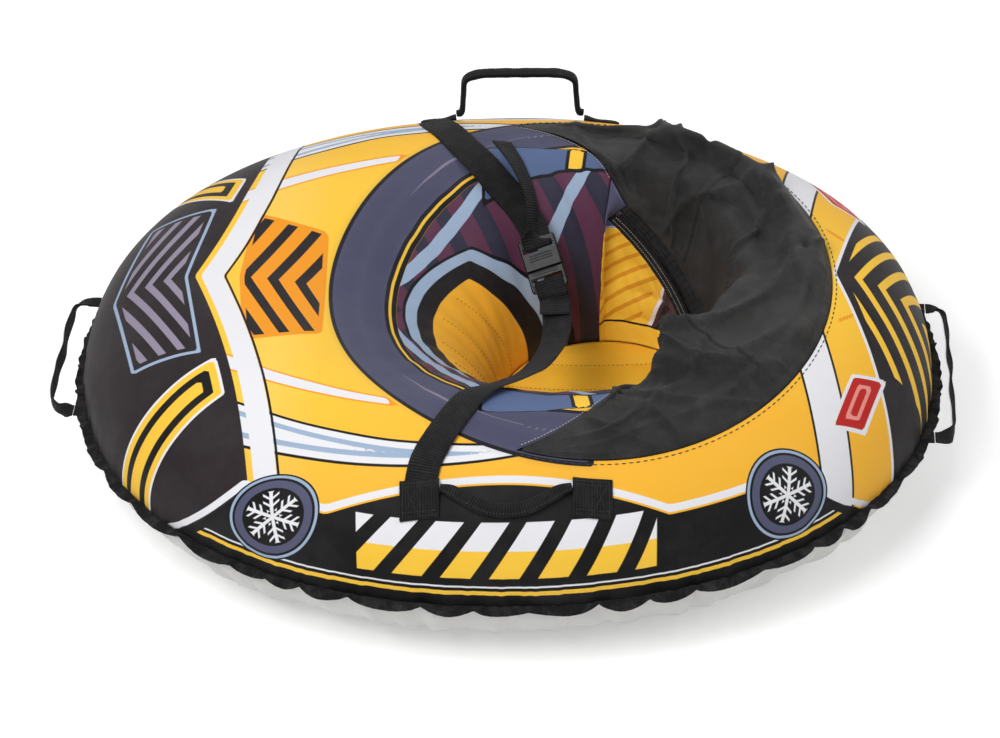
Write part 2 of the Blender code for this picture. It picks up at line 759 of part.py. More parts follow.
def make_lining():
    """Printed wall from the zip's inner tape down to the seat's edge, and past both ends of the zip."""
    tape_edge = COIL_PARTING + COIL_WIDTH + TAPE_GAP + TAPE_WIDTH + TAPE_GAP
    past_end = ZIP_END + (STOP_LENGTH + 2 * TAPE_GAP + SEAM_GAP) / ZIP_RADIUS
    zip_angles = [mix(-past_end, past_end, k / REAR_COLUMNS) for k in range(REAR_COLUMNS + 1)]
    rows = []
    for row in range(LINING_ROWS + LINING_END_ROWS + 1):
        share = min(row / LINING_ROWS, 1)
        above = max(row - LINING_ROWS, 0) / LINING_END_ROWS
        ring = []
        for column, zip_angle in enumerate(zip_angles):
            side = mix(-WELL_SIDE, WELL_SIDE, (column + 0.5) / (REAR_COLUMNS + 1))
            foot = at_reach(side, well_reach(side) + SEAM_GAP, SEAT_HEIGHT)
            top = zip_point(zip_angle, 0, mix(-tape_edge, tape_edge - LINING_TOP_GAP, above))
            ring.append(foot.lerp(top, share))
        for side in (-1, 1):
            top_turn = turn_at_reach(WELL_SIDE, SIDE_EDGE_RADIUS - LINING_TOP_GAP)
            turn = mix(2, top_turn, row / (LINING_ROWS + LINING_END_ROWS))
            reach, height = cover_profile(WELL_SIDE, turn)
            edge = at_reach(side * (WELL_SIDE - GUSSET_SEAM_GAP / reach), reach, height)
            ring = [edge] + ring if side < 0 else ring + [edge]
        rows.append(ring)
    columns = len(rows[0])
    faces = []
    for face in grid_faces(len(rows), columns, False):
        low_row = min(face) // columns
        low_column = min(index % columns for index in face)
        if low_row < LINING_ROWS or low_column in (0, columns - 2):
            faces.append(face)
    points, faces = used_points([p for row in rows for p in row], faces)
    give_thickness(add_object("seat_back_lining", mesh_from("seat_back_lining", points, faces),
                              "printed_fabric"), CLOTH)


# Gusset

# Share of the way round the gusset, from its near tip at 0 to its far tip at 1, then for the cuff,
# the hollow and the shoulder: share of the way in from the seam, and height in shares of its own size
TIP_START = 0.35
GUSSET_STATION_SHARES = (
    (0.00, 0.25, 0.05, 0.50, 0.05, 0.75, 0.05),
    (0.08, 0.25, 0.15, 0.50, 0.20, 0.75, 0.15),
    (0.15, 0.30, 0.35, 0.60, 0.55, 0.85, 0.40),
    (0.28, 0.30, 0.45, 0.75, 1.10, 1.25, 1.00),
    (0.40, 0.25, 0.50, 0.60, 0.90, 0.95, 0.60),
    (0.52, 0.22, 0.75, 0.48, 0.00, 0.72, -0.25),
    (0.66, 0.20, 0.95, 0.42, -0.40, 0.68, -0.20),
    (0.80, 0.20, 1.00, 0.42, -0.40, 0.68, 0.10),
    (0.90, 0.25, 0.40, 0.50, 0.15, 0.75, 0.10),
    (1.00, 0.25, 0.05, 0.50, 0.05, 0.75, 0.05),
)


def station_values(share):
    """The gusset's section values at one share of the way round."""
    for before, after in zip(GUSSET_STATION_SHARES, GUSSET_STATION_SHARES[1:]):
        if share <= after[0]:
            part = ease((share - before[0]) / (after[0] - before[0]))
            return [mix(a, b, part) for a, b in zip(before[1:], after[1:])]
    return GUSSET_STATION_SHARES[-1][1:]


def clear_of_tube(point, size):
    """The same point, raised where it would go into the tube."""
    angle = atan2(point.y, point.x - OPENING_X)
    reach = hypot(point.x - OPENING_X, point.y)
    if reach > OPENING_RADIUS - SEAM_STRIP or reach < tube_hole_reach(angle):
        return point
    lowest = tube_height(angle, reach) + NYLON + (1 + size) * TUBE_EASE
    return Vector((point.x, point.y, max(point.z, lowest)))


def gusset_columns():
    """Seam point, inner edge point and share of the way round, for each column from near to far."""
    tape_edge = COIL_PARTING + COIL_WIDTH + TAPE_GAP + TAPE_WIDTH + TAPE_GAP
    total = 2 * GUSSET_TIP_COLUMNS + GUSSET_REAR_COLUMNS
    columns = []
    for index in range(total + 1):
        share = index / total
        from_tip = min(index, total - index)
        side = -1 if index * 2 < total else 1
        if from_tip < GUSSET_TIP_COLUMNS:
            part = (from_tip + TIP_START) / (GUSSET_TIP_COLUMNS - 1 + TIP_START)
            angle = side * mix(OPENING_TIP, WELL_SIDE, part)
            inner_angle = angle
            inner_reach = side_edge_reach(angle) + GUSSET_SEAM_GAP
            inner = cover_point(inner_angle, turn_at_reach(inner_angle, inner_reach))
            tip = cover_point(angle, turn_at_reach(angle, mix(inner_reach, OPENING_RADIUS, 0.07)))
            neck = tip + Vector((0, 0, NECK_RISE * part ** 3))
        else:
            rear_index = index - GUSSET_TIP_COLUMNS
            rear_share = rear_index / GUSSET_REAR_COLUMNS
            angle = mix(-WELL_SIDE, WELL_SIDE, (rear_index + 1) / (GUSSET_REAR_COLUMNS + 2))
            zip_angle = mix(-ZIP_END, ZIP_END, rear_share)
            inner = zip_point(zip_angle, 0, tape_edge)
            neck = zip_point(zip_angle, 0, tape_edge + NECK_RISE)
        reach = OPENING_RADIUS - GUSSET_SEAM_GAP
        outer = cover_point(angle, turn_at_reach(angle, reach))
        columns.append((outer, neck, inner, share))
    return columns


def make_gusset():
    """Loose nylon from the opening's seam over the tube to the zip, with its cuff and its main folds."""
    rings = []
    for outer, neck, inner, share in gusset_columns():
        cuff_in, cuff_up, hollow_in, hollow_up, shoulder_in, shoulder_up = station_values(share)
        fold = FOLD_DEPTH * sin(share * pi) * sin(share * pi * len(GUSSET_STATION_SHARES))
        level = Vector((1, 1, 0))
        flat_outer = outer * level
        flat_inner = inner * level
        size = ease(min((outer - inner).length / FULL_FOLD_SPAN, 1))
        section = [outer]
        for way_in, rise in ((cuff_in, CUFF_RISE * cuff_up),
                             (hollow_in, OVERHANG_RISE * hollow_up + fold),
                             (shoulder_in, SHOULDER_RISE * shoulder_up + fold)):
            base = mix(outer.z, inner.z, mix(way_in, 0, size))
            level_point = flat_outer.lerp(flat_inner, mix(min(way_in, 1), way_in, size))
            section.append(Vector((level_point.x, level_point.y, base + rise * size)))
        section += [neck, inner]
        smooth = [clear_of_tube(p, size) for p in smooth_route(section, GUSSET_ROWS)]
        rings.append([smooth[round(k * (len(smooth) - 1) / GUSSET_ROWS)] for k in range(GUSSET_ROWS + 1)])
    rows = [[ring[row] for ring in rings] for row in range(GUSSET_ROWS + 1)]
    rows.reverse()
    sheet("rear_gusset", rows, False, NYLON, "gusset_nylon", even=False)


# Webbing


def ribbon(name, route, sides, width, thickness, material, origin=None):
    """A strip of webbing along a route, with its width along a given direction at each point."""
    widths = width if isinstance(width, (list, tuple)) else [width] * len(route)
    left = [p - s * (w / 2) for p, s, w in zip(route, sides, widths)]
    right = [p + s * (w / 2) for p, s, w in zip(route, sides, widths)]
    return sheet(name, [left, right], False, thickness, material, origin, side=0.0, even=False)


def route_sides(route, guide):
    """Width directions square to the route and as near as can be to a guide direction for each point."""
    sides = []
    for index, point in enumerate(route):
        ahead = route[min(index + 1, len(route) - 1)] - route[max(index - 1, 0)]
        ahead.normalize()
        wanted = guide[index] if isinstance(guide, (list, tuple)) else guide
        side = wanted - ahead * wanted.dot(ahead)
        sides.append(side.normalized())
    return sides


def body_point(shares):
    """A point from its shares of the cover's half length, half width and crest height."""
    return Vector((HALF_LENGTH * shares[0], HALF_WIDTH * shares[1], CREST_HEIGHT * shares[2]))


def buckle_matrix():
    """Buckle's frame: X across the belt, Y along it towards the near side, Z out of its face."""
    along = (body_point(NEAR_ENTRY_SHARES) - body_point(FAR_ENTRY_SHARES)).normalized()
    across = Vector((along.y, -along.x, 0)).normalized()
    face = across.cross(along)
    turn = Matrix((across, along, face)).transposed().to_4x4()
    centre = Matrix.Translation((BUCKLE_X, BUCKLE_Y, BUCKLE_Z))
    return centre @ turn @ Matrix.Rotation(BUCKLE_ROLL, 4, "Y")


# Where the belt reaches the buckle from each side: shares of the half length, half width and crest
FAR_ENTRY_SHARES = (0.0608, 0.3321, 0.8411)
NEAR_ENTRY_SHARES = (0.1063, 0.1581, 0.6732)

# Start of the belt on the cover: shares of the half length and half width, and lift in thicknesses
BELT_START_SHARES = (
    (-0.1810, 0.7897, 1.4375),
    (-0.1735, 0.7549, 1.6875),
    (-0.1474, 0.6912, 2.0000),
)

# The belt's route over the crest and down into the opening, in the same shares as the entries
FAR_BELT_SHARES = (
    (-0.0896, 0.5637, 1.0179),
    (-0.0261, 0.4559, 0.9750),
    (0.0280, 0.3995, 0.8929),
)
FAR_TAIL_SHARES = (
    (0.0597, 0.3824, 0.9393),
    (0.0299, 0.4706, 1.0321),
    (-0.0112, 0.5637, 1.0750),
)
NEAR_BELT_SHARES = (
    (-0.0821, -0.5441, 1.0107),
    (-0.0093, -0.4265, 0.9357),
    (0.0522, -0.2696, 0.7786),
    (0.0933, -0.1176, 0.6714),
    (0.1157, 0.0147, 0.6321),
)


def belt_loop(matrix, away, bar_y):
    """Route round a bar of the buckle: in below it, round the bar and back above it."""
    route = []
    for turn in (-1.0, -0.6, -0.25, 0.25, 0.6, 1.0):
        arc = turn * QUARTER
        route.append(matrix @ Vector((0, bar_y - away * LOOP_RADIUS * cos(arc), LOOP_RADIUS * sin(arc))))
    return route


def make_belt():
    """Both halves of the belt, each turned round its bar of the buckle."""
    matrix = buckle_matrix()
    across = (matrix.to_3x3() @ Vector((1, 0, 0))).normalized()
    lead = 3 * LOOP_RADIUS
    far_bar = -SOCKET_BACK + BAR_WIDTH
    near_bar = SOCKET_FRONT + LATCH_GAP + LATCH_LENGTH - BAR_WIDTH
    face = (matrix.to_3x3() @ Vector((0, 0, 1))).normalized()
    lower = matrix @ Vector((0, near_bar + 2 * lead, -LOOP_RADIUS))
    sewn = [lower + face * LOOP_RADIUS * 1.4]
    near_route = [body_point(p) for p in NEAR_BELT_SHARES]
    far_route = [body_point(p) for p in FAR_BELT_SHARES]
    far_tail = [body_point(p) for p in FAR_TAIL_SHARES]
    sewn.append(lower.lerp(near_route[-1], 0.5) + face * LOOP_RADIUS * 1.7)
    far_out = Vector((-1, -0.35, 0)).normalized()
    near_out = Vector((-1, 0.25, 0)).normalized()
    specs = (("belt_far", far_route, -1, far_bar, far_tail, far_out),
             ("belt_near", near_route, 1, near_bar, sewn, near_out))
    for name, outer, away, bar, tail, start_side in specs:
        leads = [matrix @ Vector((0, bar + away * k, -LOOP_RADIUS)) for k in (2 * lead, lead, 0)]
        start = []
        for x, y, lift in BELT_START_SHARES:
            start.append(slope_point(HALF_LENGTH * x, -away * HALF_WIDTH * y, WEBBING_THICKNESS * lift))
        span = smooth_route(start + outer + leads, 3)
        leaving = [matrix @ Vector((0, bar + away * lead * k, LOOP_RADIUS)) for k in (0.8, 1.4)]
        turn = belt_loop(matrix, away, bar)
        back = smooth_route([turn[-1]] + leaving + tail, 2)
        route = span[:-1] + turn + back[1:]
        guide = [start_side.lerp(across, ease(min(k / (len(span) - 7), 1))) for k in range(len(route))]
        for k in range(1, len(back)):
            guide[k - len(back)] = across.lerp(start_side, ease(k / len(back)))
        ribbon(name, route, route_sides(route, guide), WEBBING_WIDTH, WEBBING_THICKNESS, "webbing")


def make_buckle():
    """Side-release buckle: a socket with a bar for the adjustable half, and a latch with two prongs."""
    matrix = buckle_matrix()
    half = BUCKLE_WIDTH / 2
    thick = BUCKLE_THICKNESS / 2
    bar = BAR_THICKNESS / 2
    rail = half - RAIL_WIDTH
    step_y = -SOCKET_BACK + BAR_WIDTH + SLOT_WIDTH
    socket_mesh = box_mesh("buckle_socket", (-half, -SOCKET_BACK, -thick), (half, SOCKET_FRONT, thick))
    socket = place(add_object("buckle_socket", socket_mesh, "buckle_plastic"), matrix)
    back = -SOCKET_BACK - OVERRUN
    spaces = {
        "socket_top_step": ((-rail, back, bar), (rail, step_y, thick + OVERRUN)),
        "socket_low_step": ((-rail, back, -thick - OVERRUN), (rail, step_y, -bar)),
        "socket_slot": ((-rail, step_y - SLOT_WIDTH, -thick), (rail, step_y, thick)),
        "socket_mouth": ((-MOUTH_WIDTH / 2, SOCKET_FRONT - MOUTH_DEPTH, -MOUTH_HEIGHT / 2),
                         (MOUTH_WIDTH / 2, SOCKET_FRONT + OVERRUN, MOUTH_HEIGHT / 2)),
        "socket_windows": ((-half - OVERRUN, -WINDOW_LENGTH / 2, -MOUTH_HEIGHT / 2),
                           (half + OVERRUN, WINDOW_LENGTH / 2, MOUTH_HEIGHT / 2)),
    }
    soften(socket, BUCKLE_BEVEL)
    for name, (low, high) in spaces.items():
        cut(socket, cutter(name, box_mesh(name, low, high), matrix))
    front = SOCKET_FRONT + LATCH_GAP
    end = front + LATCH_LENGTH
    latch_mesh = box_mesh("buckle_latch", (-half, front, -thick), (half, end, thick))
    latch = place(add_object("buckle_latch", latch_mesh, "buckle_plastic"), matrix)
    soften(latch, BUCKLE_BEVEL)
    slot_end = end - BAR_WIDTH
    latch_spaces = {
        "latch_top_step": ((-rail, slot_end - SLOT_WIDTH, bar), (rail, end + OVERRUN, thick + OVERRUN)),
        "latch_low_step": ((-rail, slot_end - SLOT_WIDTH, -thick - OVERRUN), (rail, end + OVERRUN, -bar)),
        "latch_slot": ((-rail, slot_end - SLOT_WIDTH, -thick), (rail, slot_end, thick)),
    }
    for name, (low, high) in latch_spaces.items():
        cut(latch, cutter(name, box_mesh(name, low, high), matrix))
    reach = MOUTH_HEIGHT / 2 - PRONG_PLAY
    tip = front - PRONG_LENGTH
    edge = MOUTH_WIDTH / 2 - PRONG_PLAY
    root = front + BUCKLE_BEVEL * 2
    for side, word in ((-1, "left"), (1, "right")):
        low, high = sorted((side * (edge - PRONG_WIDTH), side * (edge - PRONG_WIDTH / 2)))
        arm = box_mesh("arm", (low, tip, -reach), (high, root, reach))
        cut(latch, cutter("prong_arm_" + word, arm, matrix), "UNION")
        low, high = sorted((side * (edge - PRONG_WIDTH * 3 / 4), side * edge))
        head = box_mesh("head", (low, tip + PRONG_PLAY, -reach + PRONG_PLAY),
                        (high, tip + PRONG_HEAD, reach - PRONG_PLAY))
        cut(latch, cutter("prong_head_" + word, head, matrix), "UNION")
    guide = box_mesh("guide", (-GUIDE_WIDTH / 2, tip + PRONG_HEAD / 2, -reach),
                     (GUIDE_WIDTH / 2, root, reach))
    cut(latch, cutter("latch_guide", guide, matrix), "UNION")


# Handles


def slope_point(x, y, lift):
    """A point above the cover near its side, lifted along the surface's own normal."""
    angle = atan2(y, x - OPENING_X)
    turn = turn_at_reach(angle, hypot(x - OPENING_X, y))
    point = cover_point(angle, turn)
    up = cover_point(angle, turn + 0.01) - cover_point(angle, turn - 0.01)
    round_it = cover_point(angle + 0.01, turn) - cover_point(angle - 0.01, turn)
    return point + up.cross(round_it).normalized() * -lift


# Half of each grip's outline: share of the half span, and share of its height
NEAR_GRIP_SHARES = ((1.0, 0.0), (0.86, 0.10), (0.62, 0.45), (0.32, 0.87), (0.0, 1.0))
FAR_GRIP_SHARES = ((1.0, 0.0), (0.93, 0.02), (0.885, 0.43), (0.84, 0.85), (0.66, 0.97), (0.33, 1.0),
                   (0.0, 1.0))


def make_handle(word, side, middle_x, span, shares, height, direction, broad):
    """A grip of folded webbing that turns on the line between its two patches, and the patches."""
    axis_point = slope_point(middle_x, side * GRIP_Y, GRIP_CLEARANCE)
    half = span / 2
    knots = [Vector((-half * x, 0, 0)) + direction * height * z for x, z in shares]
    knots += [Vector((-p.x, p.y, p.z)) for p in reversed(knots[:-1])]
    route = [axis_point + p for p in smooth_route(knots, 2)]
    sides = route_sides(route, broad)
    count = len(route) - 1
    widths = []
    for index in range(count + 1):
        from_end = min(index, count - index) / count
        widths.append(mix(GRIP_END_WIDTH, GRIP_WIDTH, ease(min(from_end * 4, 1))))
    name = word + "_handle_grip"
    grip = ribbon(name, route, sides, widths, GRIP_THICKNESS, "webbing", axis_point)
    soften(grip, GRIP_THICKNESS / 4)
    for place_word, sign in (("front", -1), ("rear", 1)):
        near_x = middle_x + sign * (half + GRIP_END_GAP)
        far_x = middle_x + sign * (half + GRIP_END_GAP + PATCH_LENGTH)
        lift = PATCH_GAP + PATCH_THICKNESS / 2
        top_y = HALF_WIDTH - PATCH_TOP_INSET
        rows = []
        for row in range(PATCH_STEPS + 1):
            y = side * (top_y + PATCH_HEIGHT * SLOPE_SHARE * row / PATCH_STEPS)
            beside = ease(min(max(1.5 - abs(y - axis_point.y) / GRIP_END_WIDTH, 0), 1))
            line = []
            for k in range(PATCH_STEPS + 1):
                raised = beside * max(1 - 2 * k / PATCH_STEPS, 0) ** 2
                height_here = mix(lift, GRIP_CLEARANCE, raised)
                line.append(slope_point(mix(near_x, far_x, k / PATCH_STEPS), y, height_here))
            rows.append(line)
        sheet(word + "_patch_" + place_word, rows, False, PATCH_THICKNESS, "webbing", side=0.0)


# Level share of a length laid along the outer slope
SLOPE_SHARE = 0.80


def make_handles():
    """The near handle lies on the slope and the far one stands up."""
    slope = slope_point(0.0, -GRIP_Y - GRIP_WIDTH, 0.0) - slope_point(0.0, -GRIP_Y, 0.0)
    make_handle("near", -1, NEAR_GRIP_X, NEAR_GRIP_SPAN, NEAR_GRIP_SHARES, NEAR_GRIP_DROP,
                slope.normalized(), slope.normalized())
    make_handle("far", 1, FAR_GRIP_X, FAR_GRIP_SPAN, FAR_GRIP_SHARES, FAR_GRIP_RISE, Vector((0, 0, 1)),
                Vector((0, 1, 0)))


# Half of a loop's outline: share of its half length along the rim, and share of its reach
LOOP_SHARES = ((1.0, 0.0), (1.0, 0.30), (0.98, 0.60), (0.88, 0.88), (0.68, 0.99), (0.35, 1.0), (0.0, 1.0))


def make_loop(name, end_side, from_y, to_y, reach, standoff):
    """A loop of webbing on the rim: flat where it enters the seam and on edge at its outermost point."""
    ends = []
    for y in (from_y, to_y):
        level = HALF_LENGTH + BINDING_GAP + BINDING_WIDTH
        half_width = HALF_WIDTH + BINDING_GAP + BINDING_WIDTH
        x = level * (1 - abs(y / half_width) ** OVAL_POWER) ** (1 / OVAL_POWER)
        ends.append(Vector((end_side * (x + standoff), y, RIM_HEIGHT)))
    middle = (ends[0] + ends[1]) / 2
    chord = (ends[1] - ends[0]) / 2
    outward = Vector((0, 0, 1)).cross(chord).normalized()
    if outward.x * end_side < 0:
        outward.negate()
    knots = [chord * -a + outward * reach * b for a, b in LOOP_SHARES]
    knots += [chord * a + outward * reach * b for a, b in reversed(LOOP_SHARES[:-1])]
    route = [middle + p for p in smooth_route(knots, 3)]
    lengths = [0.0]
    for before, after in zip(route, route[1:]):
        lengths.append(lengths[-1] + (after - before).length)
    along = chord.normalized()
    guide = []
    for run in lengths:
        turn = QUARTER * ease(min(run / LOOP_TWIST_LENGTH, 1))
        turn += QUARTER * (1 - ease(min((lengths[-1] - run) / LOOP_TWIST_LENGTH, 1)))
        guide.append(along * cos(turn) + Vector((0, 0, 1)) * sin(turn))
    sides = route_sides(route, guide)
    widths = []
    for run in lengths:
        from_end = min(run, lengths[-1] - run) / lengths[-1]
        widths.append(mix(LOOP_END_WIDTH, LOOP_WEBBING_WIDTH, ease(min(from_end * 3, 1))))
    ribbon(name, route, sides, widths, WEBBING_THICKNESS, "webbing", middle)


def make_materials():
    """Colours and surfaces of the pieces."""
    finish_material("printed_fabric", (0.93, 0.55, 0.07), 0.60)
    finish_material("seat_fabric", (0.95, 0.70, 0.12), 0.60)
    finish_material("coated_fabric", (0.78, 0.78, 0.79), 0.55)
    finish_material("binding_tape", (0.015, 0.015, 0.016), 0.85)
    finish_material("gusset_nylon", (0.022, 0.020, 0.020), 0.70)
    finish_material("webbing", (0.014, 0.014, 0.014), 0.80)
    finish_material("buckle_plastic", (0.012, 0.012, 0.012), 0.35)
    finish_material("zip_tape", (0.014, 0.014, 0.015), 0.80)
    finish_material("zip_coil", (0.018, 0.018, 0.018), 0.45)
    finish_material("zip_metal", (0.10, 0.10, 0.10), 0.35, 1.0)
    finish_material("tube_rubber", (0.02, 0.02, 0.02), 0.60)
    finish_material("valve_rubber", (0.03, 0.03, 0.03), 0.60)
    finish_material("valve_brass", (0.70, 0.50, 0.22), 0.30, 1.0)
    finish_material("cap_plastic", (0.02, 0.02, 0.02), 0.40)


clear_scene()
make_collection(PARTS)
make_collection(CUTTERS)
make_materials()
make_inner_tube()
make_valve()
make_bottom_cover()
make_top_cover()
make_seat_floor()
make_binding()
make_zip()
make_lining()
make_gusset()
make_belt()
make_buckle()
make_handles()
make_loop("tow_loop", -1, NOSE_LOOP_FROM, NOSE_LOOP_TO, NOSE_LOOP_REACH, NOSE_LOOP_STANDOFF)
make_loop("rear_loop", 1, REAR_LOOP_FROM, REAR_LOOP_TO, REAR_LOOP_REACH, REAR_LOOP_STANDOFF)
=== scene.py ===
from math import cos, pi, radians, sin

import bmesh
import bpy
import numpy as np
from mathutils import Matrix, Vector


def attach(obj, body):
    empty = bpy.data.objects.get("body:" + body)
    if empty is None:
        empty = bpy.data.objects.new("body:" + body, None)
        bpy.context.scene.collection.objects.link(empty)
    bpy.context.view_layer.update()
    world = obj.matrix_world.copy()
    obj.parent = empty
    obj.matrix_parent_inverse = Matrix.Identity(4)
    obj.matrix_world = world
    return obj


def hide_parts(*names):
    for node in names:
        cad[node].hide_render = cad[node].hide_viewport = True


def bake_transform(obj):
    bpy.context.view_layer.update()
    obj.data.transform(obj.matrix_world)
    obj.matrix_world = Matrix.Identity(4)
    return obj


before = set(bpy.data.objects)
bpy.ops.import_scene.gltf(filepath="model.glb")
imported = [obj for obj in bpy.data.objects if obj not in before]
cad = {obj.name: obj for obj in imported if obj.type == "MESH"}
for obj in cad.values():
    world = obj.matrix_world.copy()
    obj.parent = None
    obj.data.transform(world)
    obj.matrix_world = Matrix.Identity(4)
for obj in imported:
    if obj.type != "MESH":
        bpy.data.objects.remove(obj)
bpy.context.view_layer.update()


# Inner tube
# A ring of black rubber sheet, welded and inflated. It lies inside the two covers and shows only
# where the zip is open, so it keeps its plain solid.

RUBBER = (0.020, 0.020, 0.021, 1)
DUST_COLOR = (0.55, 0.54, 0.53, 1)
DUST_START = 0.45
PLAIN_DUST_SCALE = 60.0
FINISH_SCALE = 180.0
FINISH_SPREAD = 0.16


class Value:
    """A socket of a node tree that takes part in sums as a number does."""

    def __init__(self, tree, socket):
        self.tree, self.socket = tree, socket

    def __add__(self, other):
        return math("ADD", self, other)

    def __sub__(self, other):
        return math("SUBTRACT", self, other)

    def __rsub__(self, other):
        return math("SUBTRACT", other, self)

    def __mul__(self, other):
        return math("MULTIPLY", self, other)

    def __truediv__(self, other):
        return math("DIVIDE", self, other)

    def __rtruediv__(self, other):
        return math("DIVIDE", other, self)

    def __abs__(self):
        return math("ABSOLUTE", self)


def put(tree, kind, inputs=None, output=0, **settings):
    """A new node with its inputs, which are numbers, colours or values. Gives the value of one output."""
    node = tree.nodes.new(kind if "Node" in kind else "ShaderNode" + kind)
    for name, setting in settings.items():
        setattr(node, name, setting)
    for key, value in (inputs or {}).items():
        if isinstance(value, Value):
            tree.links.new(value.socket, node.inputs[key])
        else:
            node.inputs[key].default_value = value
    return Value(tree, node.outputs[output])


def lead(value, node, name):
    """Links a value to a node's input."""
    value.tree.links.new(value.socket, node.inputs[name])


def math(operation, a, b=0.0):
    """One sum on two numbers or values."""
    tree = (a if isinstance(a, Value) else b).tree
    return put(tree, "Math", {0: a, 1: b}, operation=operation)


def held(total):
    """The same sum with its result held between 0 and 1."""
    total.socket.node.use_clamp = True
    return total


def blend_colors(share, a, b):
    """A colour between two others."""
    return put(share.tree, "Mix", {0: share, 6: a, 7: b}, 2, data_type="RGBA")


def noise(place, scale, detail=3.0, roughness=0.55):
    """A soft noise from 0 to 1."""
    inputs = {"Vector": place, "Scale": scale, "Detail": detail, "Roughness": roughness}
    return put(place.tree, "TexNoise", inputs)


def new_group(name, inputs, output, build):
    """A shader group with named inputs, as a function that places it in a material with its own values."""
    group = bpy.data.node_groups.new(name, "ShaderNodeTree")
    for label, value in inputs.items():
        kind = "Float" if isinstance(value, float) else ("Color" if len(value) == 4 else "Vector")
        made = group.interface.new_socket(label, in_out="INPUT", socket_type="NodeSocket" + kind)
        if kind != "Vector":
            made.default_value = value
    kind = "Color" if output == "Color" else "Float"
    group.interface.new_socket(output, in_out="OUTPUT", socket_type="NodeSocket" + kind)
    inner = group.nodes.new("NodeGroupInput").outputs
    result = build(*[Value(group, inner[label]) for label in inputs])
    lead(result, group.nodes.new("NodeGroupOutput"), output)

    def place_group(*values):
        tree = next(value.tree for value in values if isinstance(value, Value))
        return put(tree, "Group", dict(zip(inputs, values)), node_tree=group)

    return place_group


def dusty_color(color, place, amount, scale):
    """A little uneven lightening of a colour, as handling and dust leave on it."""
    cloud = noise(place, scale, 6.0, 0.7)
    return blend_colors(held(cloud - DUST_START) * amount, color, DUST_COLOR)


dust = new_group("light dust", {"Color": (0.5, 0.5, 0.5, 1), "Vector": (0, 0, 0), "Amount": 0.1,
                                "Scale": 30.0}, "Color", dusty_color)


def new_material(name, roughness, **settings):
    """A material, its Principled shader and its Object coordinates."""
    made = bpy.data.materials.new(name)
    made.use_nodes = True
    shader = made.node_tree.nodes["Principled BSDF"]
    shader.inputs["Roughness"].default_value = roughness
    for label, value in settings.items():
        shader.inputs[label.replace("_", " ").title().replace("Ior", "IOR")].default_value = value
    return made, shader, put(made.node_tree, "TexCoord", None, "Object")


def dress(shader, place, color, dust_amount, dust_scale, height, depth):
    """Gives a shader its colour under light dust, and a relief: a height from 0 to 1 times metres."""
    lead(dust(color, place, dust_amount, dust_scale), shader, "Base Color")
    lead(put(place.tree, "Bump", {"Height": height, "Distance": depth, "Strength": 1.0}), shader, "Normal")


def plain_material(name, color, roughness, amount, grain, depth, **settings):
    """A moulded or dipped surface: one colour, light dust and a fine grain."""
    made, shader, place = new_material(name, roughness, **settings)
    dress(shader, place, color, amount, PLAIN_DUST_SCALE, noise(place, grain, 4.0), depth)
    rough = noise(place, FINISH_SCALE) * FINISH_SPREAD + (roughness - FINISH_SPREAD / 2)
    lead(rough, shader, "Roughness")
    return made


def paint(node_names, material):
    """Gives CAD nodes a material."""
    for name in node_names:
        cad[name].data.materials.clear()
        cad[name].data.materials.append(material)


paint(["inner_tube"], plain_material("tube rubber", RUBBER, 0.55, 0.5, 900.0, 0.0001))


# Valve
# A brass stem in a rubber flange on the inner tube's side, with a screwed plastic cap, reached
# through the zip. The pieces are turned or moulded, and their CAD shapes are right as they are.

STEM_RUBBER = (0.030, 0.030, 0.030, 1)
BRASS = (0.62, 0.43, 0.17, 1)
CAP_PLASTIC = (0.020, 0.020, 0.021, 1)

paint(["valve_stem"], plain_material("stem rubber", STEM_RUBBER, 0.60, 0.4, 700.0, 0.0001))
paint(["valve_core"], plain_material("turned brass", BRASS, 0.30, 0.2, 2400.0, 0.00003, metallic=1.0))
paint(["valve_cap"], plain_material("cap plastic", CAP_PLASTIC, 0.42, 0.3, 900.0, 0.00005))


# Bottom cover
# Pale coated fabric, one piece drawn in under the tube and sewn to the top cover at the rim. The
# seam gathers it, so soft folds run down from the rim.

HALF_LENGTH = 0.536
HALF_WIDTH = 0.408
OVAL_POWER = 2.1
RIM_HEIGHT = 0.122
CREST_INSET = 0.166
BASE_INSET = 0.143
CLOTH = 0.0015
OPENING_X = 0.094
WELL_SIDE = radians(78.6)
OPENING_TIP = radians(105.6)
COLUMNS_PER_METRE = 150
SKIRT_ROWS = 26
SEAM_DROP = 0.0003
MERGE_DISTANCE = 0.00005
FOLD_FADE_IN = 0.010
FOLD_END = 0.150
FOLD_FADE_OUT = 0.085
SHARP_FOLD = 0.0042
SOFT_FOLD = 0.0034
SEAM_FOLD = 0.0022
UNDERSIDE = (0.76, 0.755, 0.735, 1)


def oval_reach(angle, half_length, half_width, power=OVAL_POWER, centre_x=0.0):
    """Distances from the opening's centre to an oval, in given directions."""
    angle, half_length, half_width = np.broadcast_arrays(angle, half_length, half_width)
    low = np.zeros(angle.shape)
    high = np.ones(angle.shape)
    for _ in range(36):
        middle = (low + high) / 2
        x = OPENING_X + middle * np.cos(angle) - centre_x
        y = middle * np.sin(angle)
        inside = np.abs(x / half_length) ** power + np.abs(y / half_width) ** power < 1
        low = np.where(inside, middle, low)
        high = np.where(inside, high, middle)
    return low


def inset_reach(angle, inset):
    """Distances from the opening's centre to the rim's oval, drawn in by an inset."""
    inset = np.asarray(inset)
    return oval_reach(angle, HALF_LENGTH - inset, HALF_WIDTH - inset)


def at_reach(angle, reach, height):
    """Points by direction and distance from the opening's centre."""
    angle, reach, height = np.broadcast_arrays(angle, reach, height)
    return np.stack([OPENING_X + reach * np.cos(angle), reach * np.sin(angle), height], -1)


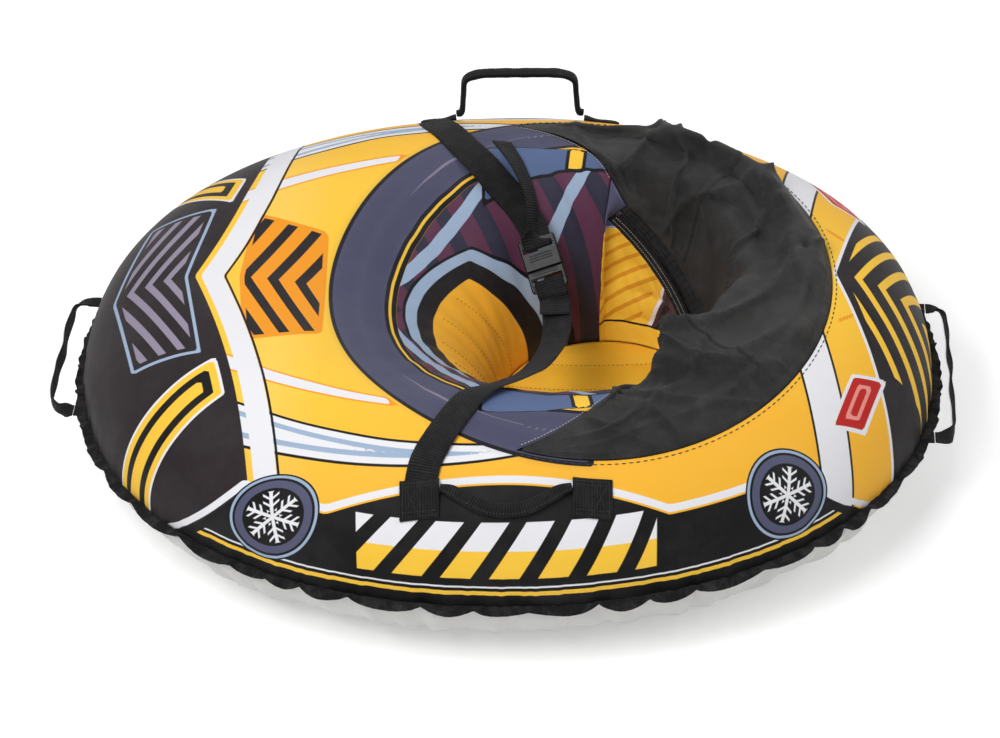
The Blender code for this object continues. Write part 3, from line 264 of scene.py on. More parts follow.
def run_along(points, axis):
    """Distance run along one axis of a grid of points."""
    steps = np.linalg.norm(np.diff(points, axis=axis), axis=-1)
    start = np.zeros_like(np.take(steps, [0], axis=axis))
    return np.concatenate([start, np.cumsum(steps, axis=axis)], axis=axis)


def rim_angles(first, last):
    """Directions between two others, evenly spaced along the rim."""
    fine = np.linspace(first, last, 400)
    run = run_along(at_reach(fine, inset_reach(fine, 0.0), 0.0), 0)
    count = max(int(run[-1] * COLUMNS_PER_METRE), 4)
    return np.interp(np.linspace(0, run[-1], count + 1), run, fine)


# the ring starts at the near end of the zip and runs round the rear, the far side and the nose
RING_CORNERS = (-WELL_SIDE, WELL_SIDE, OPENING_TIP, 2 * pi - OPENING_TIP, 2 * pi - WELL_SIDE)
RING_PARTS = [rim_angles(first, last) for first, last in zip(RING_CORNERS, RING_CORNERS[1:])]
RING_ANGLES = np.concatenate([RING_PARTS[0]] + [part[1:] for part in RING_PARTS[1:]])
REAR_COLUMNS = len(RING_PARTS[0]) - 1
rim_run = run_along(at_reach(RING_ANGLES, inset_reach(RING_ANGLES, 0.0), 0.0), 0)
RIM_LENGTH = rim_run[-1]


def grid_normals(points):
    """Surface normals of a grid of points."""
    down = np.gradient(points, axis=0)
    across = np.gradient(points, axis=1)
    normals = np.cross(across, down)
    return normals / np.maximum(np.linalg.norm(normals, axis=-1, keepdims=True), 1e-12)


def waves(along, lengths, seed, around=None):
    """An uneven wave from -1 to 1 along a distance: a few wavelengths, which fit a closed length."""
    if around:
        lengths = [around / round(around / length) for length in lengths]
    phases = np.random.default_rng(seed).uniform(0, 2 * pi, len(lengths))
    parts = [np.sin(2 * pi * along / length + phase) for length, phase in zip(lengths, phases)]
    return sum(parts) / len(lengths)


def grid_mesh(name, parts, outward):
    """A mesh of grids of points. Each part is its points, its UV in metres and its attributes."""
    points, quads, flat, values = [], [], [], {}
    start = 0
    for grid, uv, extra in parts:
        rows, columns = grid.shape[:2]
        index = np.arange(rows * columns).reshape(rows, columns) + start
        faces = np.stack([index[:-1, :-1], index[:-1, 1:], index[1:, 1:], index[1:, :-1]], -1)
        facing = outward(grid) if outward else grid - grid.reshape(-1, 3).mean(0)
        if (grid_normals(grid) * facing).sum() < 0:
            faces = faces[..., ::-1]
        points.append(grid.reshape(-1, 3))
        quads.append(faces.reshape(-1, 4))
        flat.append(uv.reshape(-1, 2))
        for label, value in extra.items():
            values.setdefault(label, []).append(np.asarray(value, float).reshape(rows * columns, -1))
        start += rows * columns
    quads = np.concatenate(quads)
    mesh = bpy.data.meshes.new(name)
    mesh.from_pydata(np.concatenate(points).tolist(), [], quads.tolist())
    layer = mesh.uv_layers.new(name="cut")
    layer.data.foreach_set("uv", np.concatenate(flat)[quads.ravel()].astype(np.float32).ravel())
    for label, value in values.items():
        value = np.concatenate(value)
        kind, key = ("FLOAT", "value") if value.shape[1] == 1 else ("FLOAT_VECTOR", "vector")
        attribute = mesh.attributes.new(label, kind, "POINT")
        attribute.data.foreach_set(key, value.astype(np.float32).ravel())
    work = bmesh.new()
    work.from_mesh(mesh)
    bmesh.ops.remove_doubles(work, verts=work.verts, dist=MERGE_DISTANCE)
    work.to_mesh(mesh)
    work.free()
    return mesh


def new_object(name, data):
    """An object in the scene."""
    item = bpy.data.objects.new(name, data)
    bpy.context.scene.collection.objects.link(item)
    return item


def add_piece(name, made, material, body, nodes=(), outward=None, wall=0.0, offset=-1.0):
    """A piece from a mesh or a grid mesh's parts. It stands for CAD nodes and rides on a body if one is
    given. Its wall lies on its inner side, or about its middle at offset 0."""
    mesh = grid_mesh(name, made, outward) if isinstance(made, list) else made
    mesh.polygons.foreach_set("use_smooth", [True] * len(mesh.polygons))
    mesh.materials.append(material)
    item = new_object(name, mesh)
    if wall:
        shell = item.modifiers.new("wall", "SOLIDIFY")
        shell.thickness = wall
        shell.offset = offset
    if body:
        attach(item, body)
    if nodes:
        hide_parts(*nodes)
    return item


def crease_height(place, scale, amount):
    """Small soft creases of a coated cloth, as a height from 0 to 1."""
    ridge = abs(noise(place, scale, 2.0, 0.5) - 0.5)
    fine = noise(place, scale * 6.0, 3.0, 0.6)
    return ridge * amount + fine * 0.25


def axes(vector):
    """The first two parts of a vector."""
    return [put(vector.tree, "SeparateXYZ", {0: vector}, part) for part in (0, 1)]


def weave_height(uv, pitch):
    """Crossing threads on a UV map in metres, as a height from 0 to 1."""
    turns = 2 * pi / pitch
    warp, weft = [math("SINE", part * turns) for part in axes(uv)]
    return warp * weft * 0.5 + 0.5


creases = new_group("soft creases", {"Vector": (0, 0, 0), "Scale": 20.0, "Amount": 0.5}, "Height",
                    crease_height)
weave = new_group("weave", {"UV": (0, 0, 0), "Pitch": 0.0006}, "Height", weave_height)


def cut_map(place):
    """The piece's UV map, which is its cut cloth in metres."""
    return put(place.tree, "UVMap")


def underside_material():
    """Pale coated fabric with a faint weave and creases, under uneven light dust."""
    made, shader, place = new_material("coated fabric", 0.42, sheen_weight=0.08)
    height = creases(place, 26.0, 1.2) + weave(cut_map(place), 0.0009) * 0.06
    dress(shader, place, UNDERSIDE, 0.35, 14.0, height, 0.0022)
    return made


def away_from_core(grid):
    """Directions from the tube's middle to a grid on the cover."""
    angle = np.arctan2(grid[..., 1], grid[..., 0] - OPENING_X)
    return grid - at_reach(angle, inset_reach(angle, CREST_INSET), RIM_HEIGHT)


def outward_normals(grid):
    """Normals of a grid on the cover, turned away from the tube's middle."""
    normals = grid_normals(grid)
    return normals if (away_from_core(grid) * normals).sum() >= 0 else -normals


def underside():
    """The drawn-in skirt and its flat base, with folds that start at the gathered seam."""
    arc = np.linspace(0, 1, SKIRT_ROWS)[:, None] * pi / 2
    angle = RING_ANGLES[None, :]
    reach = inset_reach(angle, BASE_INSET * (1 - np.cos(arc)))
    grid = at_reach(angle, reach, RIM_HEIGHT * (1 - np.sin(arc)) - SEAM_DROP)
    down = run_along(grid, 0)
    along = np.broadcast_to(rim_run, down.shape)
    # folds fade in below the seam and out before the flat base
    fade = np.clip(down / FOLD_FADE_IN, 0, 1) * np.clip((FOLD_END - down) / FOLD_FADE_OUT, 0, 1)
    lean = along + 0.25 * down * waves(along, (0.31, 0.47), 5, RIM_LENGTH)
    sharp = np.abs(waves(lean, (0.062, 0.091, 0.137), 11, RIM_LENGTH)) * 2 - 0.6
    soft = waves(lean, (0.043, 0.071, 0.118), 12, RIM_LENGTH)
    fine = waves(lean, (0.019, 0.027), 13, RIM_LENGTH) * np.exp(-down / 0.018)
    folds = (sharp * SHARP_FOLD + soft * SOFT_FOLD + fine * SEAM_FOLD) * fade
    grid = grid + outward_normals(grid) * folds[..., None]
    grid[..., 2] = np.maximum(grid[..., 2], 0.0)
    centre = np.array([OPENING_X, 0.0, 0.0])
    base = np.stack([centre + (grid[-1] - centre) * share for share in (1.0, 0.66, 0.33, 0.0)])
    return [(grid, np.stack([along, down], -1), {}), (base, base[..., :2], {})]


skirt = add_piece("underside", underside(), underside_material(), "cover",
                  ["bottom_cover"], away_from_core, CLOTH)


# Top cover
# The printed fabric shell over the upper half of the tube and down the front of the well. It is
# stretched smooth by the air, and puckers only where the rim seam gathers it.

CREST_HEIGHT = 0.280
SEAT_HEIGHT = 0.045
WELL_X = 0.125
WELL_HALF_LENGTH = 0.140
WELL_HALF_WIDTH = 0.125
OPENING_RADIUS = 0.308
SIDE_EDGE_RADIUS = 0.200
OUTER_ROWS = 62
INNER_ROWS = 46
PUCKER = 0.0034
PUCKER_FADE = 0.022
SWELL = 0.0012
SIDE_FOLD = 0.0022
WALL_FOLD = 0.0010
MEDAL_UP = 0.082
MEDAL_RADIUS = 0.058
MEDAL_RUNS = (1.055, 0.395)
BAR_UP = 0.078


def srgb(red, green, blue):
    """A screen colour of 0 to 255 as Blender's linear colour."""
    parts = [c / 255 for c in (red, green, blue)]
    return tuple(c / 12.92 if c <= 0.04045 else ((c + 0.055) / 1.055) ** 2.4 for c in parts) + (1,)


GOLD = srgb(255, 204, 66)
PALE_GOLD = srgb(255, 222, 132)
AMBER = srgb(246, 156, 34)
CHARCOAL = srgb(27, 22, 25)
WARM_CHARCOAL = srgb(44, 35, 39)
NEAR_BLACK = srgb(10, 9, 11)
PANEL_BLUE = srgb(86, 104, 142)
WHITE_INK = srgb(236, 236, 240)
ICE_BLUE = srgb(160, 180, 206)
LILAC = srgb(150, 140, 160)
SLATE = srgb(84, 86, 112)
DEEP_SLATE = srgb(48, 46, 64)
WINE = srgb(92, 50, 74)
SIGNAL_RED = srgb(190, 34, 30)
PALE_RED = srgb(238, 150, 140)


def well_reach(angle):
    """Distances from the opening's centre to the foot of the well."""
    return oval_reach(angle, WELL_HALF_LENGTH, WELL_HALF_WIDTH, 2, WELL_X)


def cover_profile(angle, turn, inset=0.0):
    """Reach and height on the cover: turn is 0 at the rim, 1 on the crest and 2 at the well's foot."""
    angle, turn = np.broadcast_arrays(angle, turn)
    crest = CREST_HEIGHT - inset
    outer_arc = np.minimum(turn, 1) * pi / 2
    inner_arc = np.maximum(turn - 1, 0) * pi / 2
    outer = inset_reach(angle, inset + (CREST_INSET - inset) * (1 - np.cos(outer_arc)))
    inner = outer - (outer - well_reach(angle)) * np.sin(inner_arc)
    outer_height = RIM_HEIGHT + (crest - RIM_HEIGHT) * np.sin(outer_arc)
    inner_height = SEAT_HEIGHT + (crest - SEAT_HEIGHT) * np.cos(inner_arc)
    return inner, np.where(turn <= 1, outer_height, inner_height)


def turn_at_reach(angle, reach, inset=0.0):
    """The turns at which the cover's profile passes given distances from the opening's centre."""
    angle, reach = np.broadcast_arrays(angle, reach)
    low = np.zeros(angle.shape)
    high = np.full(angle.shape, 2.0)
    for _ in range(30):
        middle = (low + high) / 2
        outside = cover_profile(angle, middle, inset)[0] > reach
        low = np.where(outside, middle, low)
        high = np.where(outside, high, middle)
    return low


def cover_point(angle, turn, inset=0.0):
    """Points on the cover."""
    return at_reach(angle, *cover_profile(angle, turn, inset))


def reach_point(angle, reach):
    """Points on the cover at given distances from the opening's centre."""
    return cover_point(angle, turn_at_reach(angle, reach))


def side_edge_reach(angle):
    """Where the printed side panel ends and the gusset starts, from the opening's tip to the zip."""
    side = np.abs(np.where(angle > pi, angle - 2 * pi, angle))
    share = np.clip((OPENING_TIP - side) / (OPENING_TIP - WELL_SIDE), 0, 1)
    return OPENING_RADIUS + (SIDE_EDGE_RADIUS - OPENING_RADIUS) * share


def between(value, low, high):
    """Signed distance into a band, which is above 0 inside it."""
    return np.minimum(value - low, high - value)


def least(*distances):
    """The least of signed distances, for the shape that they all share."""
    return np.minimum.reduce(np.broadcast_arrays(*distances))


def print_shapes(grid, run, up, turn):
    """The print's shapes as signed distances in metres, above 0 inside, and places for its motifs. The
    numbers are the design's own: x runs back from the tube's middle, side out from its middle line, and
    reach from the opening's centre."""
    x, side = grid[..., 0], np.abs(grid[..., 1])
    reach = np.hypot(x - OPENING_X, side)
    nose = (-0.385 + 0.42 * side - 0.5 * side ** 2 - x) / 1.06
    sweep_line = 0.300 - 0.95 * (x + 0.06) ** 2
    sweep_half = 0.003 + 0.024 * np.clip((0.12 - x) / 0.5, 0, 1)
    inner_line = 0.235 - 0.85 * (x + 0.02) ** 2
    inner_half = 0.002 + 0.010 * np.clip((0.02 - x) / 0.4, 0, 1)
    tall = 0.158 - 0.055 * np.clip(np.abs(x + 0.01) / 0.20, 0, 1) ** 2
    panel = least(x + 0.030, reach - 0.206, turn - 1.0, OPENING_RADIUS - 0.004 - reach)
    medal = np.stack([run - np.where(x < 0, *MEDAL_RUNS), up - MEDAL_UP, 0 * up], -1)
    return {
        "nose": nose,
        "nose bars": least(0.122 - side, -0.404 + 0.20 * side - x, x + 0.482 - 0.28 * side),
        "sweep": least(sweep_half - np.abs(side - sweep_line), 0.10 - x, x + 0.47),
        "inner sweep": least(inner_half - np.abs(side - inner_line), reach - OPENING_RADIUS - 0.012),
        "side band": least(tall - up, x + 0.400 - 0.9 * up, 0.430 - x - 0.9 * up),
        "tail": (x - 0.405 - 0.30 * side) / 1.04,
        "tail band": least(between(x - 0.20 * side, 0.318, 0.362), side - 0.02),
        "red field": least(between(side + 0.3 * (x - 0.42), 0.156, 0.216),
                           between(x + 0.42 * side, 0.482, 0.518)),
        "wedge": least(between(side + 0.55 * x, -0.050, 0.012), nose - 0.014),
        "ring": least(between(reach, 0.244, OPENING_RADIUS + 0.004), 0.10 - x),
        "ring line": least(between(reach, 0.272, 0.276), 0.10 - x),
        "gold ring": between(reach, 0.216, 0.232),
        "fan": least(0.232 - reach, turn - 1.0),
        "seat front": least((turn - 1.57) * 0.33, 0.088 - side),
        "panel": panel,
        "panel bar": least(between(x - 0.12 * reach, 0.052, 0.074), panel),
        "fore panel": least(0.112 - side - 0.25 * (x + 0.30), -0.224 - x, x + 0.330 - 0.1 * side),
        "medal edge": MEDAL_RADIUS - np.hypot(medal[..., 0], medal[..., 1]),
        "medal place": medal,
        "wrap": np.stack([run, up, turn], -1)}


def mirrored_run(run):
    """Distance along the rim from the middle of the rear, the same on both sides."""
    middle = (run - rim_run[(REAR_COLUMNS + 1) // 2]) % RIM_LENGTH
    return np.minimum(middle, RIM_LENGTH - middle)


def shell():
    """The ring outside the opening, and the front of the well inside it."""
    angle = RING_ANGLES[None, :]
    seam = turn_at_reach(RING_ANGLES, OPENING_RADIUS)[None, :]
    outer_turn = seam * np.linspace(0, 1, OUTER_ROWS)[:, None]
    outer = cover_point(angle, outer_turn)
    outer_up = run_along(outer, 0)
    outer_run = np.broadcast_to(rim_run, outer_up.shape)
    pucker = waves(outer_run, (0.021, 0.034, 0.055, 0.013), 21, RIM_LENGTH) * np.exp(
        -outer_up / PUCKER_FADE) * PUCKER
    swell = waves(outer_run + outer_up, (0.16, 0.27), 22, RIM_LENGTH) * waves(
        outer_up, (0.11, 0.19), 23) * SWELL
    calm = np.clip((outer_up[-1:] - outer_up) / 0.05, 0, 1) * np.clip(outer_up / 0.002, 0, 1)
    outer = outer + outward_normals(outer) * ((pucker + swell) * calm)[..., None]
    inner_angle = RING_ANGLES[None, REAR_COLUMNS:]
    edge = turn_at_reach(inner_angle, side_edge_reach(inner_angle))
    inner_turn = edge + (2 - edge) * np.linspace(0, 1, INNER_ROWS)[:, None]
    inner = cover_point(inner_angle, inner_turn)
    inner_up = run_along(inner, 0) + outer_up[-1:, REAR_COLUMNS:]
    inner_run = np.broadcast_to(rim_run[REAR_COLUMNS:], inner_up.shape)
    tip = np.clip((1.95 - np.abs(np.where(inner_angle > pi, inner_angle - 2 * pi, inner_angle))) / 0.4, 0, 1)
    down = inner_up - inner_up[:1]
    soft = waves(inner_run * 0.6 + down, (0.045, 0.071, 0.11), 24)
    fold = soft * SIDE_FOLD * tip + waves(inner_run, (0.09, 0.15), 25) * WALL_FOLD
    fold = fold * np.clip(down / 0.03, 0, 1) * np.clip((2 - inner_turn) / 0.3, 0, 1)
    inner = inner + outward_normals(inner) * fold[..., None]
    parts = []
    for grid, run, up, turn in ((outer, outer_run, outer_up, outer_turn),
                                (inner, inner_run, inner_up, inner_turn)):
        shapes = print_shapes(grid, mirrored_run(run), up, turn)
        parts.append((grid, np.stack([run, up], -1), shapes))
    return parts


def read(place, name, output="Fac"):
    """A piece's attribute."""
    return put(place.tree, "Attribute", None, output, attribute_name=name)


def inside(distance, edge=0.0008):
    """A mask from a signed distance, with a printed edge of a given width."""
    return held(distance / edge + 0.5)


def line_mask(distance, offset, width):
    """A mask of a line at an offset from a shape's edge."""
    return inside(width / 2 - abs(distance - offset), 0.0007)


def stripes(value, pitch, share):
    """A mask of even stripes over a value in metres."""
    step = math("FRACT", value / pitch)
    return inside((share / 2 - abs(step - 0.5)) * pitch)


def outlined(distance, ink, line, line_ink=NEAR_BLACK):
    """The layers of a printed shape with an outline."""
    return [(inside(distance), ink), (line_mask(distance, 0.0, line), line_ink)]


def layered(color, layers):
    """Inks printed one over another, each through its mask."""
    for mask, ink in layers:
        color = blend_colors(mask, color, ink)
    return color


def medallion(place):
    """The layers of the round medallions, each with a six-armed snow crystal."""
    across, up = axes(read(place, "medal place", "Vector"))
    edge = read(place, "medal edge")
    radius = MEDAL_RADIUS - edge
    sixth = math("FRACT", math("ARCTAN2", up, across) * (3 / pi) + 0.5) - 0.5
    aside = abs(radius * math("SINE", sixth * (pi / 3)))
    ahead = radius * math("COSINE", sixth * (pi / 3))
    arm = inside(0.0022 - aside, 0.0006)
    barbs = stripes(ahead - aside * 0.75, 0.0095, 0.34) * inside(0.010 - aside) * inside(ahead - 0.008)
    crystal = math("MAXIMUM", arm, barbs) * inside(0.035 - radius)
    return [(inside(edge), NEAR_BLACK), (line_mask(edge, 0.004, 0.0035), ICE_BLUE),
            (line_mask(edge, 0.014, 0.010), SLATE), (crystal, WHITE_INK)]


def printed_material():
    """Dye printed on smooth polyester: broad colour fields, sweeps, bars and snow medallions."""
    made, shader, place = new_material("printed fabric", 0.50, sheen_weight=0.03, specular_ior_level=0.13)
    x, y = axes(place)
    y = abs(y)
    run, up = axes(read(place, "wrap", "Vector"))
    nose, nose_bars, wedge, sweep, fore, band, tail, red, ring, fan, front = [read(place, name) for name in (
        "nose", "nose bars", "wedge", "sweep", "fore panel", "side band", "tail", "red field", "ring", "fan",
        "seat front")]
    color = blend_colors(inside(-0.05 - abs(x + 0.28), 0.22), GOLD, PALE_GOLD)
    bars = stripes(run + up * 0.55, 0.058, 0.62) * inside(0.035 - abs(up - BAR_UP)) * inside(0.175 - abs(x))
    rays = blend_colors(stripes(x * 1.3 + y, 0.075, 0.45), WINE, DEEP_SLATE)
    tail_bars = stripes(x - y * 0.55, 0.030, 0.35) * inside(tail - 0.012) * inside(0.13 - y)
    color = layered(color, [
        # the amber flanks, and the nose with its sweeps and chevrons
        (inside(y + x * 0.25 - 0.22, 0.20) * 0.40, AMBER),
        *outlined(read(place, "inner sweep"), WHITE_INK, 0.0025, AMBER),
        (inside(fore), AMBER),
        (stripes(x + y * -0.55, 0.034, 0.42) * inside(fore - 0.006), CHARCOAL),
        *outlined(sweep, WHITE_INK, 0.0032),
        (line_mask(sweep, 0.012, 0.006), ICE_BLUE),
        (line_mask(nose, -0.020, 0.026), WHITE_INK),
        (line_mask(nose, -0.035, 0.003), NEAR_BLACK),
        (inside(nose), blend_colors(noise(place, 5.0), CHARCOAL, WARM_CHARCOAL)),
        (stripes(x + y * -0.62, 0.024, 0.40) * inside(nose_bars), LILAC),
        (line_mask(nose_bars, -0.008, 0.004), ICE_BLUE),
        *outlined(wedge, GOLD, 0.0035, WHITE_INK),
        (line_mask(wedge, 0.016, 0.011), NEAR_BLACK),
        # the side bands with their bars, and the tail
        *outlined(read(place, "tail band"), WHITE_INK, 0.003),
        (line_mask(band, -0.007, 0.009), WHITE_INK),
        (inside(band), NEAR_BLACK),
        (bars, blend_colors(inside(up - BAR_UP), GOLD, WHITE_INK)),
        (line_mask(up, 0.022, 0.006) * inside(band - 0.012), GOLD),
        (line_mask(up, 0.031, 0.0025) * inside(band - 0.012), WHITE_INK),
        *outlined(tail, CHARCOAL, 0.004, WHITE_INK),
        (tail_bars, GOLD),
        *outlined(red, SIGNAL_RED, 0.004, WHITE_INK),
        (line_mask(red, 0.012, 0.004), PALE_RED),
        *medallion(place),
        # the rings round the well, its fan of rays, and the panels at its front and sides
        (inside(read(place, "gold ring")), GOLD),
        *outlined(ring, SLATE, 0.005),
        (inside(read(place, "ring line")), LILAC),
        (inside(0.018 - abs(ring - 0.018), 0.02) * 0.35, DEEP_SLATE),
        (inside(fan), blend_colors(stripes(x * 1.3 - y, 0.150, 0.16), rays, ICE_BLUE)),
        (line_mask(front, -0.009, 0.018) * inside(fan), CHARCOAL),
        (line_mask(front, -0.024, 0.012) * inside(fan), ICE_BLUE),
        (line_mask(front, -0.031, 0.003) * inside(fan), NEAR_BLACK),
        (inside(front), blend_colors(noise(place, 6.0), GOLD, AMBER)),
        (line_mask(fan, -0.003, 0.006), NEAR_BLACK),
        *outlined(read(place, "panel"), PANEL_BLUE, 0.004),
        *outlined(read(place, "panel bar"), GOLD, 0.0045)])
    height = creases(place, 16.0, 0.6) + weave(cut_map(place), 0.0008) * 0.08
    dress(shader, place, color, 0.10, 9.0, height, 0.0009)
    return made


cover = add_piece("printed_shell", shell(), printed_material(), "cover", ["top_cover"],
                  away_from_core, CLOTH)


# Seat floor
# The bottom of the well: printed fabric over a thin wadding, quilted in rows with amber thread,
# sewn to the foot of the well and sagging a little.

SEAT_SAG = 0.010
QUILT_PITCH = 0.042
QUILT_PUFF = 0.004
QUILT_ROWS = (-2, -1, 0, 1, 2)
QUILT_STITCH = 0.006
FRONT_ROWS = (-0.062, -0.022, 0.022, 0.062)
FRONT_STITCH = 0.0065
STITCH_SHARE = 0.34
FINE_THREAD = 0.00035
THICK_THREAD = 0.0005
SEAT_GOLD = srgb(252, 200, 60)
SEAT_AMBER = srgb(247, 178, 34)


def row_tree(name, sizes, axis, build):
    """Geometry nodes that set one small shape after another, at a pitch, along the edges of a mesh."""
    tree = bpy.data.node_groups.new(name, "GeometryNodeTree")
    sockets = {"Lines": "Geometry", "Pitch": "Float", **{size: "Float" for size in sizes},
               "Finish": "Material"}
    for label, kind in sockets.items():
        tree.interface.new_socket(label, in_out="INPUT", socket_type="NodeSocket" + kind)
    tree.interface.new_socket("Row", in_out="OUTPUT", socket_type="NodeSocketGeometry")
    inner = tree.nodes.new("NodeGroupInput").outputs
    given = {label: Value(tree, inner[label]) for label in sockets}
    curve = put(tree, "GeometryNodeMeshToCurve", {"Mesh": given["Lines"]})
    even = put(tree, "GeometryNodeResampleCurve", {"Curve": curve, "Length": given["Pitch"]}, mode="LENGTH")
    tangent = put(tree, "GeometryNodeInputTangent")
    turn = put(tree, "FunctionNodeAlignRotationToVector", {"Vector": tangent}, axis=axis)
    shape, scale = build(tree, *[given[size] for size in sizes])
    stamp = put(tree, "GeometryNodeInstanceOnPoints", {"Points": even, "Instance": shape, "Rotation": turn,
                                                       "Scale": scale})
    real = put(tree, "GeometryNodeRealizeInstances", {0: stamp})
    finish = put(tree, "GeometryNodeSetMaterial", {"Geometry": real, "Material": given["Finish"]})
    lead(finish, tree.nodes.new("NodeGroupOutput"), "Row")
    return tree


def one_stitch(tree, length, radius):
    """A short rounded thread, and its size along and across the row."""
    ball = put(tree, "GeometryNodeMeshUVSphere", {"Segments": 6, "Rings": 4})
    return ball, put(tree, "CombineXYZ", {0: length, 1: radius, 2: radius})


stitches = row_tree("stitches", ("Length", "Radius"), "X", one_stitch)


def grow(name, lines, tree, values, body):
    """A piece that geometry nodes grow along lines of points, turned into a plain mesh."""
    points, edges = [], []
    for line in lines:
        edges += [(len(points) + k, len(points) + k + 1) for k in range(len(line) - 1)]
        points += [tuple(p) for p in line]
    mesh = bpy.data.meshes.new(name)
    mesh.from_pydata(points, edges, [])
    item = new_object(name, mesh)
    change = item.modifiers.new("grow", "NODES")
    change.node_group = tree
    for socket in tree.interface.items_tree:
        if socket.name in values:
            change[socket.identifier] = values[socket.name]
    bpy.context.view_layer.update()
    ready = item.evaluated_get(bpy.context.evaluated_depsgraph_get())
    made = bpy.data.meshes.new_from_object(ready)
    item.modifiers.clear()
    item.data = made
    made.polygons.foreach_set("use_smooth", [True] * len(made.polygons))
    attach(item, body)
    return item


def sew(name, lines, thread, pitch, body, radius=FINE_THREAD, length=None):
    """Threads sewn along lines of points."""
    values = {"Pitch": pitch, "Length": length or pitch * STITCH_SHARE, "Radius": radius, "Finish": thread}
    return grow(name, lines, stitches, values, body)


pale_thread, dark_thread, dull_thread = [
    plain_material(name, color, roughness, 0.3, 3000.0, 0.00002) for name, color, roughness in (
        ("pale thread", srgb(214, 206, 190), 0.70), ("black thread", srgb(38, 37, 38), 0.75),
        ("amber thread", srgb(150, 104, 34), 0.70))]


def upwards(grid):
    """The upward direction at each point of a grid."""
    return np.zeros_like(grid) + (0, 0, 1)


def seat_height(x, y, share):
    """Height of the seat's fabric: its sag and the puffs between the rows of quilting."""
    puff = np.abs(np.sin(pi * (y / QUILT_PITCH))) * QUILT_PUFF * np.clip((1 - share) / 0.12, 0, 1)
    return SEAT_HEIGHT - SEAT_SAG * (1 - share ** 2) + puff * (0.7 + 0.3 * waves(x, (0.05, 0.08), 31))


def seat_material():
    """Gold printed fabric, unevenly mottled with amber."""
    made, shader, place = new_material("seat fabric", 0.55, sheen_weight=0.05, specular_ior_level=0.25)
    color = blend_colors(noise(place, 7.0), SEAT_GOLD, SEAT_AMBER)
    dress(shader, place, color, 0.12, 12.0, creases(place, 34.0, 1.0), 0.0012)
    return made


def seat():
    """Rings from the foot of the well to the middle of the seat."""
    angle = np.linspace(0, 2 * pi, 181)[None, :]
    share = np.linspace(1, 0, 34)[:, None]
    grid = at_reach(angle, (well_reach(angle) - 0.0008) * share, 0.0)
    grid[..., 2] = seat_height(grid[..., 0], grid[..., 1], share)
    return [(grid, grid[..., :2], {})]


seat_piece = add_piece("quilted_seat", seat(), seat_material(), "cover", ["seat_floor"],
                       upwards, CLOTH)
front_turn = np.linspace(1.60, 1.97, 70)
front_rows = []
for y in FRONT_ROWS:
    row_angle = pi - np.arcsin(y / cover_profile(pi, front_turn)[0])
    front_rows.append(cover_point(row_angle, front_turn) + (0.0006, 0, 0.0006))
sew("seat_front_stitches", front_rows, dull_thread, FRONT_STITCH, "cover", THICK_THREAD)
quilt_rows = []
for row in QUILT_ROWS:
    half = WELL_HALF_LENGTH * (1 - (row * QUILT_PITCH / WELL_HALF_WIDTH) ** 2) ** 0.5 - 0.006
    x = np.linspace(WELL_X - half, WELL_X + half, 40)
    y = 0 * x + row * QUILT_PITCH
    share = np.hypot(x - OPENING_X, y) / well_reach(np.arctan2(y, x - OPENING_X))
    quilt_rows.append(np.stack([x, y, seat_height(x, y, share) + 0.0004], -1))
sew("seat_quilting", quilt_rows, dull_thread, QUILT_STITCH, "cover", THICK_THREAD)


# Edge binding
# Knitted black tape folded round the seam of the two covers. Its elastic is sewn in stretched, so
# it springs back and ruffles in uneven scallops all round the rim.

BINDING_WIDTH = 0.0125
BINDING_HALF = 0.0018
SCALLOP_LENGTH = 0.066
SCALLOP_RISE = 0.0072
RIPPLE_RISE = 0.0024


def binding():
    """A folded band round the rim, whose outer edge waves up and down."""
    angle = rim_angles(-pi, pi)
    angle = np.interp(np.linspace(0, 1, 1100), np.linspace(0, 1, len(angle)), angle)
    run = run_along(at_reach(angle, inset_reach(angle, 0.0), 0.0), 0)
    total = run[-1]
    sway = waves(run, (0.24, 0.38, 0.61), 41, total)
    scallop = np.abs(np.sin(pi * run * round(total / SCALLOP_LENGTH) / total + 1.5 * sway))
    wave = (2 * scallop ** 0.8 - 1.2) * (0.72 + 0.40 * waves(run, (0.17, 0.29), 44, total))
    small = waves(run, (0.014, 0.022, 0.033), 42, total)
    pleat = waves(run, (0.0065, 0.009), 43, total)
    width = BINDING_WIDTH * (1.12 + 0.12 * small + 0.16 * wave)
    around = np.linspace(0, 2 * pi, 15)[:, None]
    out = 0.5 - 0.5 * np.cos(around)
    half = BINDING_HALF * (1.15 + 0.35 * small + 0.20 * pleat)
    thick = np.sign(np.sin(around)) * np.abs(np.sin(around)) ** 0.6 * half * (1.1 - 0.25 * out)
    lift = (-wave * SCALLOP_RISE + small * RIPPLE_RISE) * out ** 1.2
    reach = inset_reach(angle, 0.0) - 0.0012 + out * width - 0.10 * np.abs(lift)
    grid = at_reach(angle[None, :], reach, RIM_HEIGHT + lift + thick + pleat * 0.0003)
    return [(grid, np.stack(np.broadcast_arrays(run[None, :], around * 0.004), -1), {})]


def rib_height(uv, place, rib, strand):
    """Cross ribs of webbing or knitted tape on a UV map in metres, with a fuzzy unevenness."""
    along, across = axes(uv)
    along = (along + noise(place, 240.0) * 0.0006) / rib
    bars, strands = [abs(math("SINE", part * pi)) for part in (along, across / strand)]
    return (bars * (strands * 0.35 + 0.65) + noise(place, 1400.0, 4.0, 0.7) * 0.5) * 0.66


ribs = new_group("cross ribs", {"UV": (0, 0, 0), "Vector": (0, 0, 0), "Rib": 0.0016, "Strand": 0.0022},
                 "Height", rib_height)


